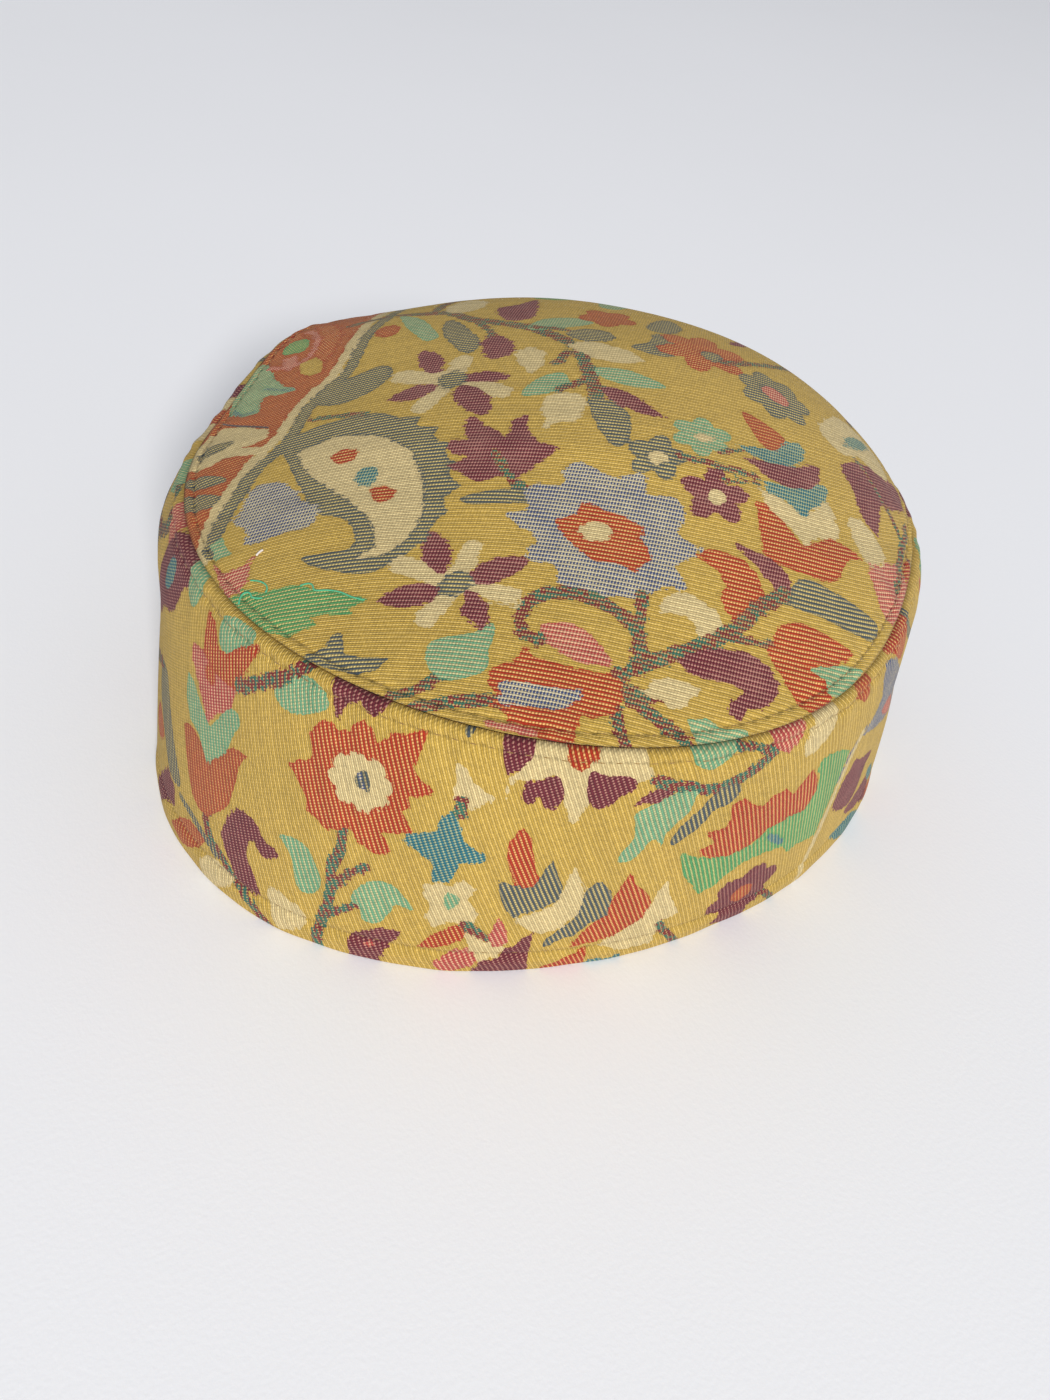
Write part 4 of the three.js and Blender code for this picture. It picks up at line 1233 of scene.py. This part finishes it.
def woven_cloth(name, yarns, depth, weave):
    """Ribbed cloth whose yarns change where the pattern's areas say."""
    material, nodes, place = start_material(name)
    rib_at, fleck_at = count_rows(nodes, place)
    rib_row = nodes.math("FLOOR", rib_at)
    half_row = nodes.math("FLOOR", nodes.math("MULTIPLY", rib_at, 2.0))
    short_run = nodes.math("FLOOR", nodes.math("MULTIPLY", fleck_at, FRAYS_PER_FLECK))
    number, reach = pick_yarn(nodes, ragged_edges(nodes, rib_row, half_row, fleck_at, short_run))

    # The main yarn's colour; the stems change between red and green from one run to the next.
    main = nodes.stops(number, [getattr(yarns, yarn) for yarn in YARNS])
    is_stem = nodes.math("GREATER_THAN", number, len(YARNS) - 1.5)
    run_chance = nodes.chance(nodes.joined(half_row, short_run, CHANCE_LAYERS["green_stem"]))
    is_green = nodes.math("MULTIPLY", is_stem, nodes.math("GREATER_THAN", run_chance, 0.5))
    main = nodes.mix(is_green, main, (*yarns.stem_green, 1))

    # The flecks that cross it.
    rib = nodes.wave(rib_at)
    pick = nodes.wave(nodes.math("MULTIPLY_ADD", rib_at, weave["slant"], fleck_at))
    flecks = fleck_cover(nodes, place, number, reach, rib, pick, weave["cover"])
    fleck = nodes.stops(number, [srgb(*FLECKS[yarn][0]) for yarn in YARNS])
    colour = nodes.mix(nodes.math("MULTIPLY", flecks, weave["bright"]), main, fleck)

    # Rounded rows of yarn, and the fine fibre on them.
    rows = nodes.math("ABSOLUTE", nodes.spread(rib, -1.0, 1.0))
    height = nodes.math("MULTIPLY", nodes.spread(pick, 0.4, 1.0), rows)
    fibre = nodes.math("MULTIPLY", nodes.noise(place, scale=2600, detail=1.0), 0.25)
    # Uneven dye with painted shade between the rows of yarn, then the painted shade of the sewing.
    lightness = dye_and_painted_gap_shade(nodes, place, rib_row, half_row, fleck_at, height)
    colour = nodes.shaded(colour, nodes.math("MULTIPLY", lightness, painted_sewing_shade(nodes)))
    finish_shader(nodes, colour, nodes.math("ADD", height, fibre), depth, roughness=0.75, sheen=0.06)
    return material


def plain_yarn(name, colour):
    """Twisted thread of one colour."""
    material, nodes, place = start_material(name)
    fibre = nodes.noise(place, scale=1800)
    shaded = nodes.shaded((*colour, 1), nodes.spread(fibre, 0.75, 1.25))
    finish_shader(nodes, shaded, fibre, FIBRE_DEPTH, roughness=0.7, sheen=0.3)
    return material


def places_of(verts):
    return np.array([vert.co[:] for vert in verts])


def finish_piece(name, bm, material, replaced=None):
    """Writes a bmesh in metres as a piece that rides on the cap."""
    mesh = bpy.data.meshes.new(name)
    bm.to_mesh(mesh)
    bm.free()
    piece = bpy.data.objects.new(name, mesh)
    bpy.context.scene.collection.objects.link(piece)
    mesh.materials.append(material)
    mesh.shade_smooth()
    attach(piece, BODY)
    if replaced:
        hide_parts(replaced)


def pattern_values(motifs, x, y, row_way):
    """What the cloth's material reads at each point.

    For each yarn, how far inside its areas the point is; and whether the nearest edge of an area cuts
    across the rows, which run row_way, or lies along them.
    """
    here = weave_pattern(motifs, x, y)
    ahead = weave_pattern(motifs, x + row_way[0], y + row_way[1])
    values = {"in_" + yarn: area for yarn, area in here.items()}
    change = [np.abs(ahead[yarn] - here[yarn]) for yarn in YARNS]
    values["row_ends"] = np.clip(np.max(change, 0) / np.hypot(*row_way), 0, 1)
    return values


def sewing_values(distance, row, shade, turn):
    """What the cloth's material reads of the sewing at points this far from the seam, with its painted shade
    along the rows and in the seam's crease.
    """
    line, holes = shade
    return {
        "beside_stitches": distance - row,
        "row_shade": line + holes * needle_holes(turn) ** 2,
        "seam_shade": SEAM_SHADE["dark"] * bell(distance, SEAM_SHADE["reach"]),
    }


def place_points(bm, places, values):
    """Moves each point to its place, and gives it what the cloth's material reads there."""
    layers = {name: bm.verts.layers.float.new(name) for name in values}
    for index, (vert, place) in enumerate(zip(bm.verts, places * MM)):
        vert.co = place
        for name, layer in layers.items():
            vert[layer] = values[name][index]


def chart_uvs(bm, places):
    """Lays the weave's own coordinates on every face corner."""
    layer = bm.loops.layers.uv.new("weave")
    for face in bm.faces:
        for loop in face.loops:
            loop[layer].uv = places[loop.vert.index]


# The grid that becomes the crown is a square chart of it: rings of the square are rings of the
# crown, and its height tells the face: the outer face, the sewn edge rolling in, then the inner face.
ROLLED, SEWN = -1.0, -2.0
# How deep in the seam the cloth's edge lies where it has rolled half way in.
ROLLED_DEPTH = (SEAM_GROOVE["depth"] + SEAM_GROOVE["sewn_depth"]) / 2
# The part of the way out to which the crown's inner face stays under the dome.
CROWN_INNER_END = 0.965


def crown_turn_and_part(flat):
    """Which turn and which part of the way from the middle each place of the square stands for."""
    x, y = flat[:, 0], flat[:, 1]
    part = np.maximum(np.abs(x), np.abs(y))
    safe = np.maximum(part, 1e-9)
    x, y = x / safe, y / safe
    front = y <= -1 + 1e-6
    left = (x >= 1 - 1e-6) & ~front
    back = (y >= 1 - 1e-6) & ~front & ~left
    walked = np.select([front, left, back], [x, 2 + y, 4 - x], 6 - y)
    return (walked / 8) % 1, part


def crown_rows(u, v):
    """Counts the crown's ribs over its chart; the cloth's pull bows them."""
    bowed = ROW_BOW["lean"] * u - ROW_BOW["bend"] * ((u - ROW_BOW["middle"]) / ROW_BOW["reach"]) ** 3
    return v / CROWN_WEAVE["rib"] + bowed


def crown_grid():
    """The square chart of the crown's two faces, joined by the rows of its sewn edge."""
    bm = bmesh.new()
    bmesh.ops.create_grid(bm, x_segments=CROWN_GRID, y_segments=CROWN_GRID, size=1)
    for level in (ROLLED, SEWN):
        rim = [edge for edge in bm.edges if edge.is_boundary]
        rolled = bmesh.ops.extrude_edge_only(bm, edges=rim)
        verts = [item for item in rolled["geom"] if isinstance(item, bmesh.types.BMVert)]
        bmesh.ops.translate(bm, verts=verts, vec=(0, 0, -1))
        assert abs(verts[0].co.z - level) < 1e-5, "a rim row lies at the wrong level"
    half_grid, lowered = CROWN_GRID // 2, Matrix.Translation((0, 0, SEWN))
    lower = bmesh.ops.create_grid(bm, x_segments=half_grid, y_segments=half_grid, size=1, matrix=lowered)
    sides = {edge for vert in lower["verts"] for edge in vert.link_edges}
    rim = [edge for edge in sides if edge.is_boundary]
    bmesh.ops.subdivide_edges(bm, edges=rim, cuts=1)
    bmesh.ops.remove_doubles(bm, verts=bm.verts, dist=SAME_CHART_PLACE)
    return bm


def crown_inner(turn, part, cloth):
    """The inner face, one thickness of cloth under the outer one."""
    fall = CROWN_RISE["height"] * 2 * part / crown_reach(turn)
    place = crown_place(turn, np.minimum(part, CROWN_INNER_END))
    place[..., 2] -= cloth * np.hypot(1, fall)
    return place


def build_crown(sizes, yarns):
    """The crown's cloth, with both its faces and the edge that is sewn in."""
    bm = crown_grid()
    bm.verts.index_update()
    flat = places_of(bm.verts)
    turn, part = crown_turn_and_part(flat)
    level = flat[:, 2]
    inner = (np.abs(level - SEWN) < 0.1) & (part < 1 - 1e-6)
    places = crown_face(turn, part)
    places[inner] = crown_inner(turn[inner], part[inner], sizes.cloth_thickness / MM)
    for at, depth in ((ROLLED, ROLLED_DEPTH), (SEWN, SEAM_GROOVE["sewn_depth"])):
        rows = (np.abs(level - at) < 0.1) & ~inner
        places[rows] = sewn_edge(turn[rows], depth, 1)
    u, v = crown_chart(crown_plan(turn, part))
    chart_uvs(bm, np.stack([crown_rows(u, v), u / CROWN_WEAVE["fleck"]], -1))
    values = pattern_values(CROWN_MOTIFS, u, v, CROWN_ROW_WAY)
    values |= sewing_values(from_rim(turn, part), CROWN_STITCH_ROW, CROWN_ROW_SHADE, turn)
    place_points(bm, places, values)
    bmesh.ops.recalc_face_normals(bm, faces=bm.faces)
    material = woven_cloth("crown_weave", yarns, sizes.weave_depth, CROWN_WEAVE)
    finish_piece("crown_cloth", bm, material, "crown")


def band_profile(cloth):
    """The closed section of the band, from the seam down the outer face and up the inner one.

    Rows of: part of the way down, how far in from the outer face, depth in the seam or None.
    """
    hem = TURNED_HEM
    off = hem["round_off"]
    rows = [(0.0, 0.0, SEAM_GROOVE["depth"])]
    rows += [(step / BAND_OUTER_ROWS, 0.0, None) for step in range(1, BAND_OUTER_ROWS)]
    rows += [(1 - off / SEAM_HEIGHT, 0.0, None), (1 - off / 3 / SEAM_HEIGHT, off / 3, None)]
    rows += [(1.0, off, None), (1.0, hem["thickness"] - off, None)]
    rows += [(1 - off / SEAM_HEIGHT, hem["thickness"], None)]
    rows += [(1 - part * hem["height"] / SEAM_HEIGHT, hem["thickness"], None) for part in (0.35, 0.7, 1.0)]
    hem_end = 1 - (hem["height"] + hem["step"]) / SEAM_HEIGHT
    near_seam = 0.05
    for step in range(BAND_INNER_ROWS):
        share = step / (BAND_INNER_ROWS - 1)
        rows.append((hem_end + (near_seam - hem_end) * share, cloth, None))
    rows.append((0.0, 0.0, SEAM_GROOVE["sewn_depth"]))
    rows.append((0.0, 0.0, ROLLED_DEPTH))
    rows.append(rows[0])
    return rows


def build_band(sizes, yarns):
    """The band's cloth: a flat grid, wrapped round the cap and closed into one wall."""
    cloth = sizes.cloth_thickness / MM
    rows = band_profile(cloth)
    bm = bmesh.new()
    bmesh.ops.create_grid(bm, x_segments=BAND_STATIONS, y_segments=len(rows) - 1, size=1)
    bm.verts.index_update()
    flat = places_of(bm.verts)
    turn = flat[:, 0] / 2
    row = np.rint((1 - flat[:, 1]) / 2 * (len(rows) - 1)).astype(int)
    # A depth of None turns into nan here.
    down, inset, depth = np.array(rows, float)[row].T
    inwards = outward_at(turn) * inset[:, None]
    places = band_face(turn, down) - inwards
    inner = inset >= cloth
    places[inner] = (band_place(turn, down) - inwards)[inner]
    edge = ~np.isnan(depth)
    places[edge] = sewn_edge(turn[edge], depth[edge, None], -1)
    s, z = turn * BAND_CHART_LENGTH, (1 - down) * BAND_CHART_HEIGHT
    lean = GRAIN_LEAN * np.sin(2 * math.pi * (s - GRAIN_UPRIGHT_AT) / BAND_CHART_LENGTH)
    across = s + np.tan(lean) * (z - BAND_CHART_HEIGHT / 2)
    chart_uvs(bm, np.stack([across / BAND_WEAVE["rib"], z / BAND_WEAVE["fleck"]], -1))
    values = pattern_values(BAND_MOTIFS, s, z, BAND_ROW_WAY)
    values |= sewing_values(down * SEAM_HEIGHT, BAND_STITCH_ROW, BAND_ROW_SHADE, turn)
    over_hem_row = (1 - down) * SEAM_HEIGHT - HEM_STITCH_ROW
    values["beside_stitches"] *= over_hem_row / (SEAM_HEIGHT - BAND_STITCH_ROW - HEM_STITCH_ROW)
    # Painted shade along the hem's stitched groove.
    values["row_shade"] = np.where(down < 0.5, values["row_shade"], HEM_SHADE)
    place_points(bm, places, values)
    bmesh.ops.remove_doubles(bm, verts=bm.verts, dist=SAME_PLACE)
    bmesh.ops.recalc_face_normals(bm, faces=bm.faces)
    material = woven_cloth("band_weave", yarns, sizes.weave_depth, BAND_WEAVE)
    finish_piece("band_cloth", bm, material, "band")


# How high a stitch stands to each side of its middle, as a share of the thread's thickness.
STITCH_HEIGHT = 0.4


def add_stitch(bm, place, ahead, normal, length, thickness):
    """One stitch as a low smooth bead of thread lying along its row."""
    ahead = ahead / np.linalg.norm(ahead)
    aside = np.cross(normal, ahead)
    turned = Matrix((ahead, aside, normal)).transposed().to_4x4()
    size = Matrix.Diagonal((length / 2, thickness / 2, thickness * STITCH_HEIGHT, 1))
    matrix = Matrix.Translation(Vector(place)) @ turned @ size
    bmesh.ops.create_uvsphere(bm, u_segments=8, v_segments=6, radius=1, matrix=matrix)


def stitch_row(bm, face, turns, parts, sizes):
    """A row of stitches on one face of the cap."""
    small_turn, small_part = 1e-3, 2e-3
    ahead = face(turns + small_turn, parts) - face(turns - small_turn, parts)
    beyond = face(turns, parts + small_part) - face(turns, parts - small_part)
    normals = np.cross(beyond, ahead)
    normals = normals / np.linalg.norm(normals, axis=-1, keepdims=True)
    places = face(turns, parts) * MM - normals * sizes.stitch_sunk
    for place, along, normal in zip(places, ahead, normals):
        add_stitch(bm, place, along, normal, sizes.stitch_length, sizes.thread_thickness)


def build_stitches(sizes, yarns):
    """The rows beside the seam and over the hem, each stitch midway between two needle holes."""
    thread = plain_yarn("sewing_thread", yarns.sewing_thread)
    at_seam = (np.arange(SEAM_STITCHES) + 0.5) / SEAM_STITCHES
    at_hem = (np.arange(HEM_STITCHES) + 0.5) / HEM_STITCHES
    crown_part = 1 - CROWN_STITCH_ROW / (crown_reach(at_seam) * CROWN_RIM_SLOPE)
    rows = {
        "crown_stitches": (crown_face, at_seam, crown_part),
        "band_top_stitches": (band_face, at_seam, np.full_like(at_seam, BAND_STITCH_ROW / SEAM_HEIGHT)),
        "hem_stitches": (band_face, at_hem, np.full_like(at_hem, 1 - HEM_STITCH_ROW / SEAM_HEIGHT)),
    }
    for name, (face, turns, parts) in rows.items():
        bm = bmesh.new()
        stitch_row(bm, face, turns, parts, sizes)
        finish_piece(name, bm, thread)


# Loose ends and lint on the crown, as lines over its chart in millimetres.
# Columns: colour, thickness, points of chart u, chart v and height over the cloth.
LOOSE_THREADS = [
    ((74, 168, 124), 0.38, [(-72.6, -50.4, 0.2), (-72.2, -48.4, 0.4), (-71, -47.4, 0.5), (-69.4, -48, 0.4),
                            (-70, -49.2, 0.3), (-67.6, -49.4, 0.2)]),
    ((74, 168, 124), 0.34, [(-70, -44.6, 0.2), (-67.6, -45, 0.5), (-66, -46.6, 0.5), (-67, -48, 0.2)]),
    ((74, 168, 124), 0.34, [(-60.4, -47.4, 0.1), (-58.8, -47, 0.3), (-57.6, -47.8, 0.4), (-58, -49.4, 0.2),
                            (-55.6, -49.2, 0.3), (-52, -50.4, 0.3), (-50.6, -52, 0.3), (-48, -52.8, 0.1)]),
    ((70, 60, 60), 0.35, [(-79, 14, 0.1), (-76, 10.5, 0.3), (-72, 8.4, 0.3), (-68.6, 6.0, 0.1)]),
    ((226, 216, 206), 0.42, [(-69.2, -37.8, 0.1), (-68.6, -37, 0.3), (-68, -36.5, 0.1)]),
]  # fmt: skip


def crown_turn_of(plan):
    """The turn and part of a place on the crown's plan."""
    turns = np.linspace(0, 1, WALK_STEPS, endpoint=False)
    rim = crown_plan(turns, np.ones_like(turns))
    headings = np.unwrap(np.arctan2(rim[:, 1], rim[:, 0]))
    heading = math.atan2(plan[1], plan[0])
    while heading < headings[0]:
        heading += 2 * math.pi
    turn = np.interp(heading, headings, turns)
    return turn, math.hypot(*plan) / crown_reach(turn)


def crown_point_over(u, v, height):
    """A point over the crown's cloth at a place of its chart."""
    cosine, sine = math.cos(CROWN_CHART_TURN), math.sin(CROWN_CHART_TURN)
    turn, part = crown_turn_of((u * cosine - v * sine, u * sine + v * cosine))
    turn, part = np.array([turn]), np.array([part])
    normal = normals_of(crown_place, turn, part)
    return (crown_face(turn, part) + normal * height)[0]


def build_loose_threads():
    """Each thread as a round cord along its line over the crown."""
    for number, (colour, thickness, points) in enumerate(LOOSE_THREADS, 1):
        curve = bpy.data.curves.new("thread_path", "CURVE")
        curve.dimensions = "3D"
        curve.bevel_depth = thickness / 2 * MM
        curve.bevel_resolution = 3
        curve.use_fill_caps = True
        spline = curve.splines.new("NURBS")
        spline.points.add(len(points) - 1)
        spline.use_endpoint_u = True
        spline.order_u = 4 if len(points) > 3 else 3
        for knot, (u, v, height) in zip(spline.points, points):
            knot.co = (*(crown_point_over(u, v, height) * MM), 1)
        holder = bpy.data.objects.new("thread_path", curve)
        bm = bmesh.new()
        bm.from_mesh(holder.to_mesh())
        holder.to_mesh_clear()
        bpy.data.objects.remove(holder)
        bmesh.ops.remove_doubles(bm, verts=bm.verts, dist=SAME_PLACE)
        bmesh.ops.recalc_face_normals(bm, faces=bm.faces)
        finish_piece(f"loose_thread_{number}", bm, plain_yarn(f"loose_yarn_{number}", srgb(*colour)))


# The camera, from the picture: where it looks from, and where the cap lies in the picture's frame.
IMAGE_WIDTH, IMAGE_HEIGHT = 1050, 1400
FOCAL_PIXELS = 1168.74
AZIMUTH, ELEVATION, ROLL = (math.radians(angle) for angle in (54.91, 40.59, 10.7))
CAMERA_DISTANCE = 291.98
AIM = Vector((0, 0, 50))
AIM_PIXEL = (567.19, 577.94)
SENSOR = 36.0
LIGHT_DISTANCE = 6.0
KEY_LIGHT = {"azimuth": 74, "elevation": 28, "size": 1.0, "colour": (1.0, 0.985, 0.96)}
SKY_COLOUR = srgb(240, 242, 248)


def direction(azimuth, elevation):
    """The unit direction from the cap to what stands at these angles."""
    level = math.cos(elevation)
    return Vector((level * math.sin(azimuth), -level * math.cos(azimuth), math.sin(elevation)))


def add_camera():
    """The camera that sees the cap as the picture shows it."""
    back = direction(AZIMUTH, ELEVATION)
    level = Vector((math.cos(AZIMUTH), math.sin(AZIMUTH), 0))
    up = back.cross(level)
    right = level * math.cos(ROLL) + up * math.sin(ROLL)
    upright = up * math.cos(ROLL) - level * math.sin(ROLL)
    aside = (AIM_PIXEL[0] - IMAGE_WIDTH / 2) / FOCAL_PIXELS * CAMERA_DISTANCE
    lower = (AIM_PIXEL[1] - IMAGE_HEIGHT / 2) / FOCAL_PIXELS * CAMERA_DISTANCE
    place = AIM + back * CAMERA_DISTANCE - right * aside + upright * lower
    data = bpy.data.cameras.new("camera")
    data.sensor_width = SENSOR
    data.lens = FOCAL_PIXELS / IMAGE_HEIGHT * SENSOR
    data.clip_start = 0.01
    data.clip_end = 50
    camera = bpy.data.objects.new("camera", data)
    axes = Matrix((right, upright, back)).transposed()
    camera.matrix_world = Matrix.Translation(place * MM) @ axes.to_4x4()
    bpy.context.scene.collection.objects.link(camera)
    bpy.context.scene.camera = camera


def add_area_light(name, azimuth, elevation, size, power, colour):
    """A round soft light that looks at the cap from the given angles in degrees."""
    towards = direction(math.radians(azimuth), math.radians(elevation))
    data = bpy.data.lights.new(name, "AREA")
    data.shape = "DISK"
    data.size = size
    data.energy = power
    data.color = colour
    light = bpy.data.objects.new(name, data)
    light.location = towards * LIGHT_DISTANCE
    light.rotation_euler = (-towards).to_track_quat("-Z", "Y").to_euler()
    bpy.context.scene.collection.objects.link(light)


def plain_floor(colour):
    material, nodes, place = start_material("plain_floor")
    patches = nodes.noise(place, scale=3.0, detail=3.0)
    shaded = nodes.shaded((*colour, 1), nodes.spread(patches, 0.98, 1.02))
    grain = nodes.noise(place, scale=900.0)
    finish_shader(nodes, shaded, grain, FLOOR_GRAIN_DEPTH, roughness=0.7, sheen=0.0)
    return material


def build_stage(settings):
    bm = bmesh.new()
    bmesh.ops.create_grid(bm, x_segments=8, y_segments=8, size=settings.floor_size / 2)
    mesh = bpy.data.meshes.new("floor")
    bm.to_mesh(mesh)
    bm.free()
    floor = bpy.data.objects.new("floor", mesh)
    mesh.materials.append(plain_floor(settings.floor))
    bpy.context.scene.collection.objects.link(floor)
    world = bpy.data.worlds.new("even_light")
    world.use_nodes = True
    sky = world.node_tree.nodes["Background"]
    sky.inputs["Color"].default_value = (*SKY_COLOUR, 1)
    sky.inputs["Strength"].default_value = settings.sky_strength
    bpy.context.scene.world = world
    bpy.context.scene.view_settings.view_transform = "Standard"
    add_area_light("key", power=settings.key_power, **KEY_LIGHT)
    add_camera()


class CAP_OT_stage(bpy.types.Operator):
    """Lay the floor and set the light and the camera"""

    bl_idname = "cap.stage"
    bl_label = "Build Stage"

    def execute(self, context):
        build_stage(context.scene.cap_stage)
        return {"FINISHED"}


class CAP_OT_crown(bpy.types.Operator):
    """Make the crown's patterned cloth"""

    bl_idname = "cap.crown"
    bl_label = "Build Crown Cloth"

    def execute(self, context):
        build_crown(context.scene.cap_sizes, context.scene.cap_yarns)
        return {"FINISHED"}


class CAP_OT_band(bpy.types.Operator):
    """Make the side band's patterned cloth with its turned hem"""

    bl_idname = "cap.band"
    bl_label = "Build Band Cloth"

    def execute(self, context):
        build_band(context.scene.cap_sizes, context.scene.cap_yarns)
        return {"FINISHED"}


class CAP_OT_stitches(bpy.types.Operator):
    """Sew the rows of stitches beside the seam and above the hem"""

    bl_idname = "cap.stitches"
    bl_label = "Build Stitches"

    def execute(self, context):
        build_stitches(context.scene.cap_sizes, context.scene.cap_yarns)
        return {"FINISHED"}


class CAP_OT_loose_threads(bpy.types.Operator):
    """Add the loose thread ends and the lint"""

    bl_idname = "cap.loose_threads"
    bl_label = "Build Loose Threads"

    def execute(self, context):
        build_loose_threads()
        return {"FINISHED"}


class CAP_PT_panel(bpy.types.Panel):
    """Lists what the cap is made of"""

    bl_idname = "CAP_PT_panel"
    bl_label = "Cap"
    bl_space_type = "VIEW_3D"
    bl_region_type = "UI"
    bl_category = "Cap"

    def draw(self, context):
        layout = self.layout
        for group in (context.scene.cap_sizes, context.scene.cap_yarns, context.scene.cap_stage):
            for name in group.__annotations__:
                layout.prop(group, name)
        for operator in OPERATORS:
            layout.operator(operator.bl_idname)


GROUPS = (CapYarns, CapSizes, CapStage)
OPERATORS = (CAP_OT_stage, CAP_OT_crown, CAP_OT_band, CAP_OT_stitches, CAP_OT_loose_threads)
CLASSES = (*GROUPS, *OPERATORS, CAP_PT_panel)


def register():
    for each in CLASSES:
        bpy.utils.register_class(each)
    bpy.types.Scene.cap_yarns = PointerProperty(type=CapYarns)
    bpy.types.Scene.cap_sizes = PointerProperty(type=CapSizes)
    bpy.types.Scene.cap_stage = PointerProperty(type=CapStage)


def unregister():
    for name in ("cap_yarns", "cap_sizes", "cap_stage"):
        delattr(bpy.types.Scene, name)
    for each in reversed(CLASSES):
        bpy.utils.unregister_class(each)


def main():
    """Builds the cap and its stage."""
    register()
    bpy.ops.cap.stage()
    bpy.ops.cap.crown()
    bpy.ops.cap.band()
    bpy.ops.cap.stitches()
    bpy.ops.cap.loose_threads()
    bpy.context.view_layer.update()


if __name__ == "__main__":
    main()
